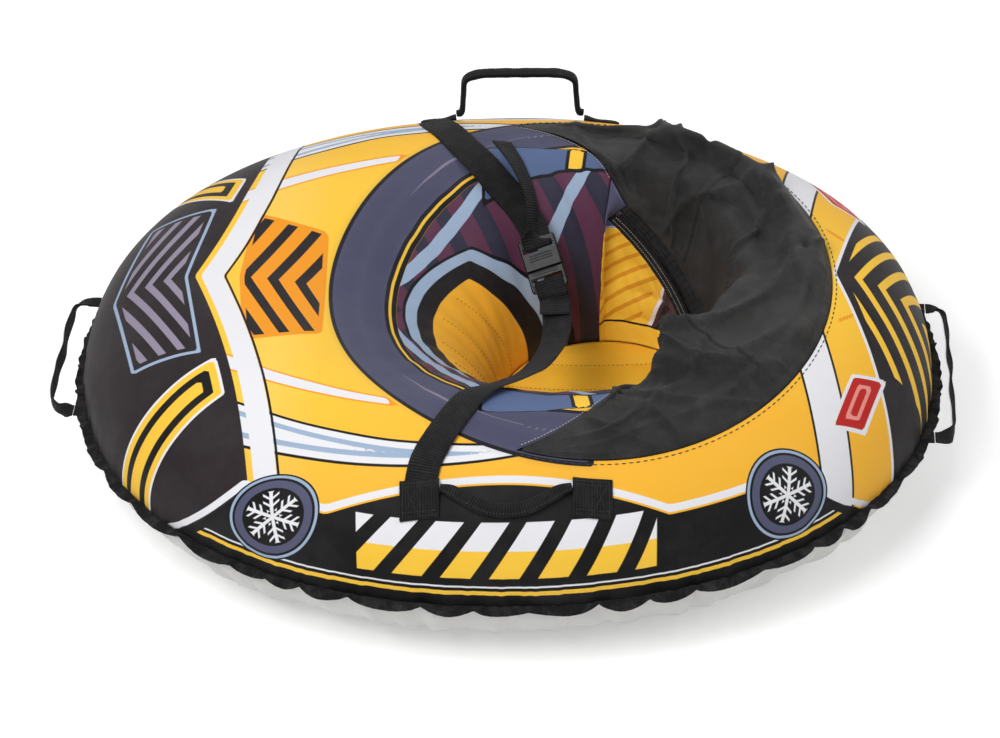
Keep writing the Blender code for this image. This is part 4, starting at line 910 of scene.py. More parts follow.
def ribbed_material(name, dark, light, roughness, rib, strand, depth, lint):
    """Black knitted or woven tape with cross ribs and light lint, its colour painted darker in the grooves
    between the ribs as painted shade and lighter on their tops as painted highlight.
    """
    made, shader, place = new_material(name, roughness, sheen_weight=0.04, specular_ior_level=0.12)
    height = ribs(cut_map(place), place, rib, strand)
    # the rib height also sets the colour: dark in the grooves as painted shade, light on the rib tops as
    # painted highlight
    dress(shader, place, blend_colors(held(height * 0.9), dark, light), lint, 55.0, height, depth)
    return made


knit = ribbed_material("knitted tape", srgb(8, 8, 9), srgb(34, 34, 36), 0.85, 0.0019, 0.0024, 0.0008, 0.22)
add_piece("ruffled_binding", binding(), knit, "cover", ["edge_binding"])


# Zip
# A coil zip on a tilted arc round the back of the well: two black tapes with ribs and stitch
# lines, nylon coils sewn to their edges, and blackened metal stops, slider and pull.

ZIP_X = 0.125
ZIP_HEIGHT = 0.248
ZIP_RADIUS = 0.172
ZIP_TILT = radians(45)
ZIP_END = radians(80)
TAPE_NEAR = 0.0037
TAPE_FAR = 0.0177
TAPE_THICKNESS = 0.0008
TAPE_SEAMS = (0.0068, 0.0125)
COIL_MIDDLE = 0.0021
COIL_TURN = 0.00115
COIL_PITCH = 0.0017
COIL_WIRE = 0.00038
ZIP_STITCH = 0.0034
GUNMETAL = (0.10, 0.10, 0.105, 1)


def zip_point(angle, radial=0.0, across=0.0):
    """Points by angle on the zip's arc, distance outside it and distance across the tapes."""
    angle, radial, across = np.broadcast_arrays(angle, radial, across)
    out = (ZIP_RADIUS + radial) * np.cos(angle)
    x = ZIP_X + out * cos(ZIP_TILT) + across * sin(ZIP_TILT)
    z = ZIP_HEIGHT - out * sin(ZIP_TILT) + across * cos(ZIP_TILT)
    return np.stack([x, (ZIP_RADIUS + radial) * np.sin(angle), z], -1)


def tape(side):
    """One tape, a little wavy at its free edge."""
    angle = np.linspace(-ZIP_END, ZIP_END, 320)[None, :]
    across = np.linspace(TAPE_NEAR, TAPE_FAR, 12)[:, None]
    run = angle * ZIP_RADIUS
    lift = waves(run, (0.031, 0.052, 0.019), 51 + side) * 0.0007 * (across - TAPE_NEAR) / 0.014
    grid = zip_point(angle, lift, side * across)
    return [(grid, np.stack(np.broadcast_arrays(run, across), -1), {})]


def coil_turn(tree, radius, wire):
    """One turn of the coil, which keeps its size."""
    ring = put(tree, "GeometryNodeCurvePrimitiveCircle", {"Resolution": 8, "Radius": radius})
    section = put(tree, "GeometryNodeCurvePrimitiveCircle", {"Resolution": 5, "Radius": wire})
    return put(tree, "GeometryNodeCurveToMesh", {"Curve": ring, "Profile Curve": section}), (1, 1, 1)


coils = row_tree("zip coil", ("Turn", "Wire"), "Z", coil_turn)
zip_tape = ribbed_material("zip tape", srgb(17, 17, 18), srgb(40, 40, 42), 0.80, 0.0100, 0.0011, 0.0002, 0.10)
zip_nylon = plain_material("zip coil nylon", srgb(26, 26, 27), 0.40, 0.1, 900.0, 0.00002)
zip_metal = plain_material("blackened zinc", GUNMETAL, 0.34, 0.15, 700.0, 0.00002, metallic=0.85)
paint(["zip_stop_near", "zip_stop_far", "zip_slider", "zip_pull"], zip_metal)
coil_values = {"Pitch": COIL_PITCH, "Turn": COIL_TURN, "Wire": COIL_WIRE, "Finish": zip_nylon}
coil_angle = np.linspace(-ZIP_END, ZIP_END, 200)
for side, word, thread in ((1, "outer", dark_thread), (-1, "inner", pale_thread)):
    add_piece("tape_" + word, tape(side), zip_tape, "cover", ["zip_tape_" + word], None,
              TAPE_THICKNESS, 0.0)
    teeth = grow("coil_" + word, [zip_point(coil_angle, 0.0, side * COIL_MIDDLE)], coils, coil_values,
                 "cover")
    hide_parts("zip_coil_" + word)
    seams = [zip_point(coil_angle, -0.0007, side * across) for across in TAPE_SEAMS]
    sew("zip_seams_" + word, seams, thread, ZIP_STITCH, "cover")


# Seat-back lining
# The printed wall behind the seat, from the zip's inner tape down to the seat. Its thin padding
# puffs between the quilting lines, and it dents where the rider leans.

LINING_TOP_GAP = 0.0030
TAPE_MARGIN = 0.0004
LINING_END = ZIP_END + 0.0370
LINING_MIDDLE = np.array([WELL_X, 0, 0.16])
EDGE_PARTS = 7
WALL_PARTS = 5
GUSSET_SEAM = 0.0012
BACK_QUILT = 0.038
BACK_PUFF = 0.0030
BACK_DENT = 0.0035
BACK_SWELL = 0.0050
BACK_WRINKLE = 0.0007
MUSTARD = srgb(226, 158, 44)


def lining():
    """The wall between its foot and the zip, and the strips beside the ends of the zip."""
    across = np.linspace(0, 1, 200)
    side = WELL_SIDE * (2 * (across * 24 + 0.5) / 25 - 1)
    foot = at_reach(side, well_reach(side) + 0.0006, SEAT_HEIGHT)
    low, high = -TAPE_FAR - TAPE_MARGIN, TAPE_FAR + TAPE_MARGIN - LINING_TOP_GAP
    top = zip_point(LINING_END * (2 * across - 1), 0, low)
    top_turn = turn_at_reach(WELL_SIDE, SIDE_EDGE_RADIUS - LINING_TOP_GAP)

    def edge(sign, row):
        reach, height = cover_profile(WELL_SIDE, 2 + (top_turn - 2) * row)
        return at_reach(sign * (WELL_SIDE - GUSSET_SEAM / reach), reach, height)

    main = []
    for share in np.linspace(0, 1, 60):
        row = share * WALL_PARTS / EDGE_PARTS
        main.append(np.concatenate([edge(-1, row)[None], foot + (top - foot) * share, edge(1, row)[None]]))
    main = np.stack(main)
    up = run_along(main, 0)
    run = run_along(main, 1)
    run = run - run[:, -1:] / 2
    puff = np.abs(np.sin(pi * up / BACK_QUILT)) * BACK_PUFF * np.clip((0.20 - np.abs(run)) / 0.03, 0, 1)
    soft = waves(run + 0.4 * up, (0.075, 0.12, 0.19), 61) * waves(
        up - 0.2 * run, (0.09, 0.15), 62) * BACK_SWELL
    fine = waves(run * 1.3 - up, (0.023, 0.036), 63) * BACK_WRINKLE
    calm = np.clip(up / 0.02, 0, 1) * np.clip((up[-1:] - up) / 0.025, 0, 1)
    calm = calm * np.clip((run[:, -1:] - np.abs(run)) / 0.03, 0, 1)
    normals = grid_normals(main)
    normals = normals * np.sign(((LINING_MIDDLE - main) * normals).sum(-1, keepdims=True))
    main = main + normals * ((puff + soft + fine) * calm - BACK_DENT * calm)[..., None]
    parts = [(main, np.stack([run, up], -1), {"sway": run, "rise": up})]
    for sign, column in ((-1, 0), (1, -1)):
        strip = np.stack([np.stack([edge(sign, (WALL_PARTS + 2 * row) / EDGE_PARTS),
                                    zip_point(sign * LINING_END, 0, low * (1 - row) + high * row)])
                          for row in np.linspace(0, 1, 12)])
        rise = run_along(strip, 0) + up[-1, column]
        sway = run[-1, column] + 0 * rise
        sway[:, 1] -= sign * 0.03
        parts.append((strip, np.stack([sway, rise], -1), {"sway": sway, "rise": rise}))
    return parts


def lining_material():
    """Printed fields on the seat back: a dark middle, gold wings and a pale band below the zip."""
    made, shader, place = new_material("seat back print", 0.55, sheen_weight=0.05, specular_ior_level=0.25)
    sway, rise = read(place, "sway"), read(place, "rise")
    slant = abs(sway) + rise * 0.28
    wing, foot, top = slant - 0.158, 0.030 - rise, rise - 0.168
    band = math("MINIMUM", math("MINIMUM", rise - 0.118, 0.150 - rise), 0.120 - abs(sway))
    color = layered(blend_colors(noise(place, 9.0), DEEP_SLATE, WINE), [
        (stripes(slant, 0.026, 0.44), CHARCOAL),
        (inside(wing), GOLD),
        (stripes(rise + slant, 0.034, 0.30) * inside(wing - 0.016), MUSTARD),
        (line_mask(wing, 0.0, 0.006), WHITE_INK),
        *outlined(foot, GOLD, 0.003),
        (inside(band), WHITE_INK),
        (line_mask(band, 0.004, 0.0018), ICE_BLUE),
        *outlined(top, SLATE, 0.003, ICE_BLUE)])
    dress(shader, place, color, 0.12, 11.0, creases(place, 24.0, 1.0), 0.0011)
    return made


lining_piece = add_piece("padded_back", lining(), lining_material(), "cover",
                         ["seat_back_lining"], lambda grid: LINING_MIDDLE - grid, CLOTH)


# Rear gusset
# Loose black nylon round the back of the opening, sewn to the cover outside and to the zip
# inside. It is cut full, so that it closes over the rider's hips, and it folds over at the top.

TUBE_EASE = 0.0030
TUBE_HOLE = (0.165, 0.160)
TUBE_HOLE_HEIGHT = 0.110
NYLON = 0.0012
CUFF_RISE = 0.036
SHOULDER_RISE = 0.030
OVERHANG_RISE = 0.016
NECK_RISE = 0.010
SEAM_STRIP = 0.006
TIP_COLUMNS = 7
BACK_COLUMNS = 30
TIP_START = 0.35
CUFF_ROW = 13
LONG_FOLD = 0.0084
CROSSING_FOLD = 0.0080
SWELL_FOLD = 0.0040
FOLD_LEVEL = 0.0014
LEVEL_FOLD = 0.0034
FINE_FOLD = 0.00025
FAN_FOLD = 0.0085
CUFF_ROLL = 0.0042
CUFF_KINK = 0.0075
SEAM_RIDGE = 0.0011
SEAM_GROOVE = 0.0016
SEAM_PUCKER = 0.0009
TOPSTITCH = 0.0042
TOPSTITCH_LIFT = 0.0009
OPENING_STITCH = 0.0085
OPENING_STITCH_LENGTH = 0.0030
OPENING_THREAD = 0.0007
STRONG_THREAD = 0.00045
# share of the way round, then for the cuff, the hollow and the shoulder: way in and height
STATION_SHARES = np.array((
    (0.00, 0.25, 0.05, 0.50, 0.05, 0.75, 0.05), (0.08, 0.25, 0.15, 0.50, 0.20, 0.75, 0.15),
    (0.15, 0.30, 0.35, 0.60, 0.55, 0.85, 0.40), (0.28, 0.30, 0.45, 0.75, 1.10, 1.25, 1.00),
    (0.40, 0.25, 0.50, 0.60, 0.90, 0.95, 0.60), (0.52, 0.22, 0.75, 0.48, 0.00, 0.72, -0.25),
    (0.66, 0.20, 0.95, 0.42, -0.40, 0.68, -0.20), (0.80, 0.20, 1.00, 0.42, -0.40, 0.68, 0.10),
    (0.90, 0.25, 0.40, 0.50, 0.15, 0.75, 0.10), (1.00, 0.25, 0.05, 0.50, 0.05, 0.75, 0.05)))
# places round the cuff where it kinks, with the widths of the kinks, and of its two cross seams
CUFF_KINKS = ((0.27, 0.010), (0.52, 0.008), (0.63, 0.010), (0.76, 0.007), (0.84, 0.012))
CROSS_SEAMS = (0.305, 0.705)
TOPSTITCHED = (0.30, 0.315, 0.70, 0.715)


def ease(share):
    """A share eased in and out."""
    share = np.clip(share, 0, 1)
    return share * share * (3 - 2 * share)


def smooth(knots, steps):
    """A smooth curve through unevenly spaced knots along the first axis."""
    knots = np.concatenate([[2 * knots[0] - knots[1]], knots, [2 * knots[-1] - knots[-2]]])
    gaps = np.sqrt(np.linalg.norm(np.diff(knots, axis=0), axis=-1, keepdims=True) + 0.00001)
    curve = []
    for k in range(len(knots) - 3):
        p0, p1, p2, p3 = knots[k:k + 4]
        t1, t2, t3 = np.cumsum(gaps[k:k + 3], axis=0)
        for step in range(steps):
            t = t1 + (t2 - t1) * step / steps
            first = p0 + (p1 - p0) * t / t1
            middle = p1 + (p2 - p1) * (t - t1) / (t2 - t1)
            last = p2 + (p3 - p2) * (t - t2) / (t3 - t2)
            left = first + (middle - first) * t / t2
            right = middle + (last - middle) * (t - t1) / (t3 - t1)
            curve.append(left + (right - left) * (t - t1) / (t2 - t1))
    curve.append(knots[-2])
    return np.stack(curve)


def above_tube(points, size):
    """The same points, raised where they would go into the tube."""
    angle = np.arctan2(points[..., 1], points[..., 0] - OPENING_X)
    reach = np.hypot(points[..., 0] - OPENING_X, points[..., 1])
    inset = CLOTH + TUBE_EASE
    outer = inset_reach(angle, CREST_INSET)
    hole = oval_reach(angle, TUBE_HOLE[0], TUBE_HOLE[1], 2, WELL_X)
    under = cover_profile(angle, turn_at_reach(angle, reach, inset), inset)[1]
    share = np.clip((outer - reach) / (outer - hole), 0, 1)
    own = TUBE_HOLE_HEIGHT + (CREST_HEIGHT - inset - TUBE_HOLE_HEIGHT) * np.sqrt(1 - share ** 2)
    inner = np.where(np.cos(angle) > cos(WELL_SIDE - radians(8)), own, np.minimum(own, under))
    lowest = np.where(reach >= outer, under, inner) + NYLON + (1 + size) * TUBE_EASE
    free = (reach > OPENING_RADIUS - SEAM_STRIP) | (reach < hole)
    points[..., 2] = np.where(free, points[..., 2], np.maximum(points[..., 2], lowest))
    return points


def gusset_sections():
    """The gusset's knots from the seam to the zip, for columns from the near tip to the far one."""
    total = 2 * TIP_COLUMNS + BACK_COLUMNS
    index = np.arange(total + 1)
    share = index / total
    from_tip = np.minimum(index, total - index)
    tip = (from_tip < TIP_COLUMNS)[:, None]
    part = np.clip((from_tip + TIP_START) / (TIP_COLUMNS - 1 + TIP_START), 0, 1)
    side = np.where(index * 2 < total, -1, 1)
    angle = np.where(tip[:, 0], side * (OPENING_TIP + (WELL_SIDE - OPENING_TIP) * part),
                     WELL_SIDE * (2 * (index - TIP_COLUMNS + 1) / (BACK_COLUMNS + 2) - 1))
    zip_angle = ZIP_END * (2 * ((index - TIP_COLUMNS) / BACK_COLUMNS) - 1)
    inner_reach = side_edge_reach(angle) + GUSSET_SEAM
    tip_neck = reach_point(angle, inner_reach * 0.93 + OPENING_RADIUS * 0.07)
    tip_neck[:, 2] += NECK_RISE * part ** 3
    inner = np.where(tip, reach_point(angle, inner_reach), zip_point(zip_angle, 0, TAPE_FAR + TAPE_MARGIN))
    neck = np.where(tip, tip_neck, zip_point(zip_angle, 0, TAPE_FAR + TAPE_MARGIN + NECK_RISE))
    outer = reach_point(angle, OPENING_RADIUS - GUSSET_SEAM)
    place = np.searchsorted(STATION_SHARES[1:-1, 0], share)
    before, after = STATION_SHARES[place], STATION_SHARES[place + 1]
    mix = ease((share - before[:, 0]) / (after[:, 0] - before[:, 0]))[:, None]
    values = before + (after - before) * mix
    fold = 0.006 * np.sin(share * pi) * np.sin(share * pi * len(STATION_SHARES))
    size = ease(np.linalg.norm(outer - inner, axis=-1) / 0.060)
    knots = [outer]
    for column, rise in ((1, CUFF_RISE * values[:, 2]), (3, OVERHANG_RISE * values[:, 4] + fold),
                         (5, SHOULDER_RISE * values[:, 6] + fold)):
        way_in = values[:, column]
        flat = np.minimum(way_in, 1) * (1 - size) + way_in * size
        knot = outer + (inner - outer) * flat[:, None]
        knot[:, 2] = outer[:, 2] + (inner[:, 2] - outer[:, 2]) * (way_in * (1 - size)) + rise * size
        knots.append(knot)
    return np.stack(knots + [neck, inner]), size


def upward_normals(grid):
    """Normals of a grid, turned upwards."""
    normals = grid_normals(grid)
    return normals * np.sign((normals * np.array([0, 0, 1])).sum(-1).mean())


def bell(distance, width):
    """A bell of height 1 round a place."""
    return np.exp(-(distance / width) ** 2)


def crest(wave, sharpness):
    """Folds of height 1 with sharp crests, where a wave passes 0."""
    return np.exp(-np.abs(wave) * sharpness)


def gusset_surface():
    """The gusset's grid with its folds and creases, and the run and depth of each point."""
    knots, size = gusset_sections()
    surface = above_tube(smooth(knots, CUFF_ROW), size)
    surface = np.swapaxes(smooth(np.swapaxes(surface, 0, 1), 9), 0, 1)
    run = run_along(surface, 1)[:1] + 0 * surface[..., 0]
    deep = run_along(surface, 0)
    width = deep[-1:]
    free = ease(deep / 0.030) * ease((width - deep) / 0.022) * ease(width / 0.10)
    hem = ease(deep / 0.006) * ease((width - deep) / 0.006)
    # a few long folds lean away from the middle of the back, with smooth cloth between them
    lean = run - 0.75 * deep * np.clip((run - run[:, -1:] * 0.52) / 0.25, -1, 1)
    lean = lean + 0.010 * waves(deep, (0.09, 0.15), 71)
    lift = crest(waves(lean, (0.29, 0.43), 72), 10.0) * LONG_FOLD
    lift = lift + crest(waves(lean + 1.1 * deep, (0.37, 0.24), 73), 13.0) * CROSSING_FOLD
    lift = lift + waves(lean - 0.4 * deep, (0.16, 0.23), 77) * SWELL_FOLD - FOLD_LEVEL
    cross = crest(waves(deep + 0.35 * run, (0.12, 0.19), 74), 7.0)
    lift = lift + cross * LEVEL_FOLD * ease((deep - 0.03) / 0.03)
    lift = lift + waves(lean * 1.3 - deep, (0.029, 0.043, 0.061), 75) * FINE_FOLD
    # crisp folds fan out from the near tip, where the slack is held in the seam
    fan = np.arctan2(deep, run + 0.03) + 0.03 * waves(run, (0.13, 0.21), 78)
    fan = crest(np.sin(fan * 8.5 + 0.5), 7.0) * ease((run - 0.03) / 0.08) * ease((0.44 - run) / 0.16)
    lift = lift + fan * FAN_FOLD
    place = run / run[:, -1:]
    cuff = bell(np.arange(len(surface))[:, None] - CUFF_ROW, 2.2) * ease(width / 0.12)
    kinks = sum(bell(place - at, wide) for at, wide in CUFF_KINKS)
    lift = lift * (1 - cuff) + cuff * (CUFF_ROLL - CUFF_KINK * kinks)
    for at in CROSS_SEAMS:
        lift = lift + SEAM_RIDGE * bell(place - at - 0.006, 0.005) - SEAM_GROOVE * bell(place - at, 0.0022)
    pucker = waves(run, (0.011, 0.017, 0.029), 76) * SEAM_PUCKER * np.exp(-deep / 0.012) * hem
    moved = surface + upward_normals(surface) * (lift * free + pucker)[..., None]
    return above_tube(moved, size.mean() + 0 * moved[..., 0] - 1.0), run, deep


def nylon_material():
    """Matt black nylon with a fine weave and soft creases, its colour painted darker in the crease valleys as
    painted shade and lighter on the ridges as painted highlight.
    """
    made, shader, place = new_material("black nylon", 0.50, sheen_weight=0.05, specular_ior_level=0.24)
    fold_height_and_shade = creases(place, 9.0, 3.2)
    # the crease height also sets the colour: dark in the valleys as painted shade, light on the ridges as
    # painted highlight
    color = blend_colors(held(fold_height_and_shade * 0.85), srgb(10, 10, 10), srgb(54, 52, 51))
    height = fold_height_and_shade + creases(place, 42.0, 0.5) + weave(cut_map(place), 0.0009) * 0.10
    dress(shader, place, color, 0.12, 40.0, height, 0.0026)
    return made


gusset_grid, gusset_run, gusset_deep = gusset_surface()
gusset_piece = add_piece("hip_gusset", [(gusset_grid, np.stack([gusset_run, gusset_deep], -1), {})],
                         nylon_material(), "cover", ["rear_gusset"], upwards, NYLON, 0.0)
lifted = gusset_grid + upward_normals(gusset_grid) * TOPSTITCH_LIFT
seams = [lifted[4, 12:-12], lifted[-4, 40:-40]]
seams += [lifted[4:-4, round((gusset_grid.shape[1] - 1) * share)] for share in TOPSTITCHED]
sew("gusset_topstitching", seams, dark_thread, TOPSTITCH, "cover", 0.00040)
tip_angle = np.linspace(WELL_SIDE + 0.01, OPENING_TIP - 0.02, 90)
tip_edge = reach_point(tip_angle, side_edge_reach(tip_angle) - 0.0035) + (0, 0, 0.0012)
sew("side_panel_stitches", [tip_edge, tip_edge * (1, -1, 1)], pale_thread, TOPSTITCH, "cover",
    STRONG_THREAD)
opening_edge = reach_point(np.linspace(-OPENING_TIP + 0.03, OPENING_TIP - 0.03, 400), OPENING_RADIUS + 0.0045)
sew("opening_seam_stitches", [opening_edge + (0, 0, 0.0006)], dark_thread, OPENING_STITCH,
    "cover", OPENING_THREAD, OPENING_STITCH_LENGTH)


# Belt
# Two halves of black polypropylene webbing, 38 mm wide, with heavy cross ribs. The far half
# passes the socket's bar and its free tail lies back over it, the near half is sewn to the latch.

WEBBING_WIDTH = 0.038
WEBBING = 0.0016
BUCKLE_PLACE = Vector((0.0450, 0.1000, 0.2120))
BUCKLE_ROLL = radians(20)
SOCKET_BACK = 0.0300
SOCKET_FRONT = 0.0120
LATCH_GAP = 0.0005
LATCH_LENGTH = 0.0270
BAR_WIDTH = 0.0095
LOOP_RADIUS = 0.0040
SPAN_STEPS = 14
TURN_POINTS = 13
BELT_SAG = 0.0016
BELT_STITCH = 0.0030
BAND_POINTS = 9
BAND_EDGE = 0.55
STITCH_POINTS = (17, 23)
# the places of the belt below are shares of the half length, half width and crest height, and
# those of its starts shares of the half length and width and a number of webbing thicknesses
FAR_ENTRY = (0.0608, 0.3321, 0.8411)
NEAR_ENTRY = (0.1063, 0.1581, 0.6732)
BELT_START = ((-0.1860, 0.8200, 0.70), (-0.1810, 0.7897, 1.4375), (-0.1735, 0.7549, 1.6875),
              (-0.1474, 0.6912, 2.0))
FAR_BELT = ((-0.0896, 0.5637, 1.0179), (-0.0261, 0.4559, 0.9750), (0.0280, 0.3995, 0.8929))
FAR_TAIL = ((0.0597, 0.3824, 0.9393), (0.0299, 0.4706, 1.0321), (-0.0112, 0.5637, 1.0750))
NEAR_BELT = ((-0.0821, -0.5441, 1.0107), (-0.0093, -0.4265, 0.9357), (0.0522, -0.2696, 0.7786),
             (0.0933, -0.1176, 0.6714), (0.1157, 0.0147, 0.6321))
TAIL_EDGE = np.array((-0.05, -0.70, 0.72))
TAIL_TURN = radians(74)
TAIL_TURN_BACK = radians(16)


def slope_point(x, y, lift):
    """Points above the cover near its side, lifted square to it."""
    angle = np.arctan2(y, x - OPENING_X)
    turn = turn_at_reach(angle, np.hypot(x - OPENING_X, y))
    up = cover_point(angle, turn + 0.01) - cover_point(angle, turn - 0.01)
    around = cover_point(angle + 0.01, turn) - cover_point(angle - 0.01, turn)
    square = np.cross(around, up)
    square = square / np.linalg.norm(square, axis=-1, keepdims=True)
    return cover_point(angle, turn) + square * np.asarray(lift)[..., None]


def body_point(shares):
    """A point from its shares of the half length, half width and crest height."""
    return np.array(shares) * (HALF_LENGTH, HALF_WIDTH, CREST_HEIGHT)


def buckle_matrix():
    """The buckle's frame: X across the belt, Y along it towards the near side, Z out of its face."""
    along = Vector(body_point(NEAR_ENTRY) - body_point(FAR_ENTRY)).normalized()
    across = Vector((along.y, -along.x, 0)).normalized()
    turn = Matrix((across, along, across.cross(along))).transposed().to_4x4()
    return Matrix.Translation(BUCKLE_PLACE) @ turn @ Matrix.Rotation(BUCKLE_ROLL, 4, "Y")


buckle = buckle_matrix()
buckle_across, buckle_face = [np.array((buckle.to_3x3() @ Vector(axis)).normalized())
                              for axis in ((1, 0, 0), (0, 0, 1))]


def on_buckle(x, y, z):
    """A point in the buckle's frame."""
    return np.array(buckle @ Vector((x, y, z)))


def route_sides(route, guide):
    """Width directions square to a route and near a guide direction, and its own directions."""
    ahead = np.gradient(route, axis=0)
    ahead /= np.linalg.norm(ahead, axis=-1, keepdims=True)
    side = guide - ahead * (guide * ahead).sum(-1, keepdims=True)
    return side / np.linalg.norm(side, axis=-1, keepdims=True), ahead


def closed_strip(rows, route):
    """The grid of a strip from its rows, drawn together at both ends, and the run along it."""
    grid = np.stack(rows)
    grid = np.concatenate([route[None, :1] + 0 * grid[:, :1], grid, route[None, -1:] + 0 * grid[:, -1:]], 1)
    run = run_along(route, 0)
    return grid, np.concatenate([run[:1], run, run[-1:]])


def band(route, guide, width, thickness, dish=0.0):
    """A part of a grid mesh: a flat strip with rounded edges along a route."""
    side, ahead = route_sides(route, guide)
    face = np.cross(side, ahead)
    half = np.broadcast_to(np.asarray(width) / 2, len(route))[:, None]
    thick = np.broadcast_to(np.asarray(thickness) / 2, len(route))[:, None]
    across = np.concatenate([np.linspace(-1, 1, BAND_POINTS), np.linspace(1, -1, BAND_POINTS)])
    up = np.repeat([1.0, -1.0], BAND_POINTS)
    up[[0, BAND_POINTS - 1, BAND_POINTS, -1]] *= BAND_EDGE
    across, up = np.append(across, across[0]), np.append(up, up[0])
    grid, run = closed_strip([route + side * half * a + face * (thick * u + half * dish * a * a)
                              for a, u in zip(across, up)], route)
    flat = across[:, None] * float(np.mean(half)) + 0 * run[None, :]
    return grid, np.stack([run[None, :] + 0 * flat, flat], -1), {}


def belt_route(away, bar, outer, tail, out_side):
    """The route of one half of the belt, its width directions, its turn's end and its way in."""
    ahead = 3 * LOOP_RADIUS
    start = [slope_point(HALF_LENGTH * x, -away * HALF_WIDTH * y, WEBBING * lift)
             for x, y, lift in BELT_START]
    leads = [on_buckle(0, bar + away * k, -LOOP_RADIUS) for k in (2 * ahead, ahead, 0)]
    span = smooth(np.stack(start + [body_point(p) for p in outer] + leads), SPAN_STEPS)
    turn = [on_buckle(0, bar - away * LOOP_RADIUS * cos(a), LOOP_RADIUS * sin(a))
            for a in np.linspace(-pi / 2, pi / 2, TURN_POINTS)]
    leaving = [on_buckle(0, bar + away * ahead * k, LOOP_RADIUS) for k in (0.8, 1.4)]
    back = smooth(np.stack([turn[-1]] + leaving + tail), 9)
    route = np.concatenate([span[:-1], np.stack(turn), back[1:]])
    place = np.arange(len(route))
    out_side = np.array(out_side) / np.linalg.norm(out_side)
    guide = out_side + (buckle_across - out_side) * ease(place / (len(span) - 30))[:, None]
    part = (np.arange(1, len(back)) / len(back))[:, None]
    # the near half turns back to its own side, and the far half's free tail stands on edge
    if away > 0:
        guide[1 - len(back):] = buckle_across + (out_side - buckle_across) * ease(part)
    else:
        twist = TAIL_TURN * ease(2.2 * part) - TAIL_TURN_BACK * part ** 3
        guide[1 - len(back):] = buckle_across * np.cos(twist) + TAIL_EDGE * np.sin(twist)
    free = ease(place / 40) * ease((len(span) - 34 - place) / 25)
    sag = waves(run_along(route, 0), (0.09, 0.16), 81) * BELT_SAG * free
    return route + np.array([0, 0, 1]) * sag[:, None], guide, len(span) + TURN_POINTS - 1, leads[0]


webbing = ribbed_material("webbing", srgb(3, 3, 4), srgb(40, 40, 42), 0.78, 0.0034, 0.0030, 0.0013, 0.08)
near_bar = SOCKET_FRONT + LATCH_GAP + LATCH_LENGTH - BAR_WIDTH
low_end = on_buckle(0, near_bar + 6 * LOOP_RADIUS, -LOOP_RADIUS)
sewn = [low_end + buckle_face * LOOP_RADIUS * 1.4,
        (low_end + body_point(NEAR_BELT[-1])) / 2 + buckle_face * LOOP_RADIUS * 1.7]
halves = (("belt_far", -1, BAR_WIDTH - SOCKET_BACK, FAR_BELT, [body_point(p) for p in FAR_TAIL],
           (-1, -0.35, 0)),
          ("belt_near", 1, near_bar, NEAR_BELT, sewn, (-1, 0.25, 0)))
belt_seams = {}
for name, away, bar, outer, tail, out_side in halves:
    route, guide, turn_end, way_in = belt_route(away, bar, outer, tail, out_side)
    # the webbing draws together a little in the buckle
    width = WEBBING_WIDTH * (1 - 0.05 * ease((7 - np.abs(np.arange(len(route)) - turn_end + 6)) / 7))
    item = add_piece("strap_" + name, [band(route, guide, width, WEBBING, dish=0.02)], webbing,
                     "cover" if away < 0 else None, [name])
    if away > 0:
        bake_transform(item)
    sides, ahead = route_sides(route, guide)
    top = np.cross(sides, ahead) * 0.0011
    across = np.linspace(-0.46, 0.46, 12)[:, None] * WEBBING_WIDTH
    belt_seams[name] = [route[k] + sides[k] * across + top[k] * level for level in (-1, 1)
                        for k in STITCH_POINTS]
for name, lines in belt_seams.items():
    sew(name + "_stitches", lines, dark_thread, BELT_STITCH, "cover", STRONG_THREAD)


# Buckle
# A side-release buckle moulded in gloss black plastic: the socket with its windows, and the
# latch with its two prongs. Ribs on the faces help a gloved hand.

BUCKLE_THICKNESS = 0.0120
RIB_SINK = 0.0006
RIB_HEIGHT = 0.0005
SOCKET_RIBS = (0.0150, 0.0014, (-0.0080, -0.0046, -0.0012))
LATCH_RIBS = (0.0165, 0.0012, [SOCKET_FRONT + LATCH_GAP + y for y in (0.0020, 0.0050)])
gloss = plain_material("gloss plastic", srgb(8, 8, 9), 0.34, 0.04, 260.0, 0.00003, specular_ior_level=0.16)
paint(["buckle_socket", "buckle_latch"], gloss)


def buckle_ribs(name, body, half, width, places):
    """Moulded ribs with rounded edges on the buckle's upper face."""
    work = bmesh.new()
    for y in places:
        low = (-half, y, BUCKLE_THICKNESS / 2 - RIB_SINK)
        high = (half, y + width, BUCKLE_THICKNESS / 2 + RIB_HEIGHT)
        made = bmesh.ops.create_cube(work, size=1)["verts"]
        bmesh.ops.scale(work, vec=[h - l for l, h in zip(low, high)], verts=made)
        bmesh.ops.translate(work, vec=[(h + l) / 2 for l, h in zip(low, high)], verts=made)
        edges = list({edge for vert in made for edge in vert.link_edges})
        bmesh.ops.bevel(work, geom=edges, offset=0.0005, segments=3, affect="EDGES", profile=0.5)
    work.transform(buckle)
    mesh = bpy.data.meshes.new(name)
    work.to_mesh(mesh)
    work.free()
    return add_piece(name, mesh, gloss, body)


buckle_ribs("socket_ribs", "cover", *SOCKET_RIBS)
buckle_ribs("latch_ribs", "latch", *LATCH_RIBS)


# Grip handles
# Each grip is webbing folded lengthwise and sewn, with its flared ends held under two sewn
# patches. The near one lies on the slope and the far one stands up.

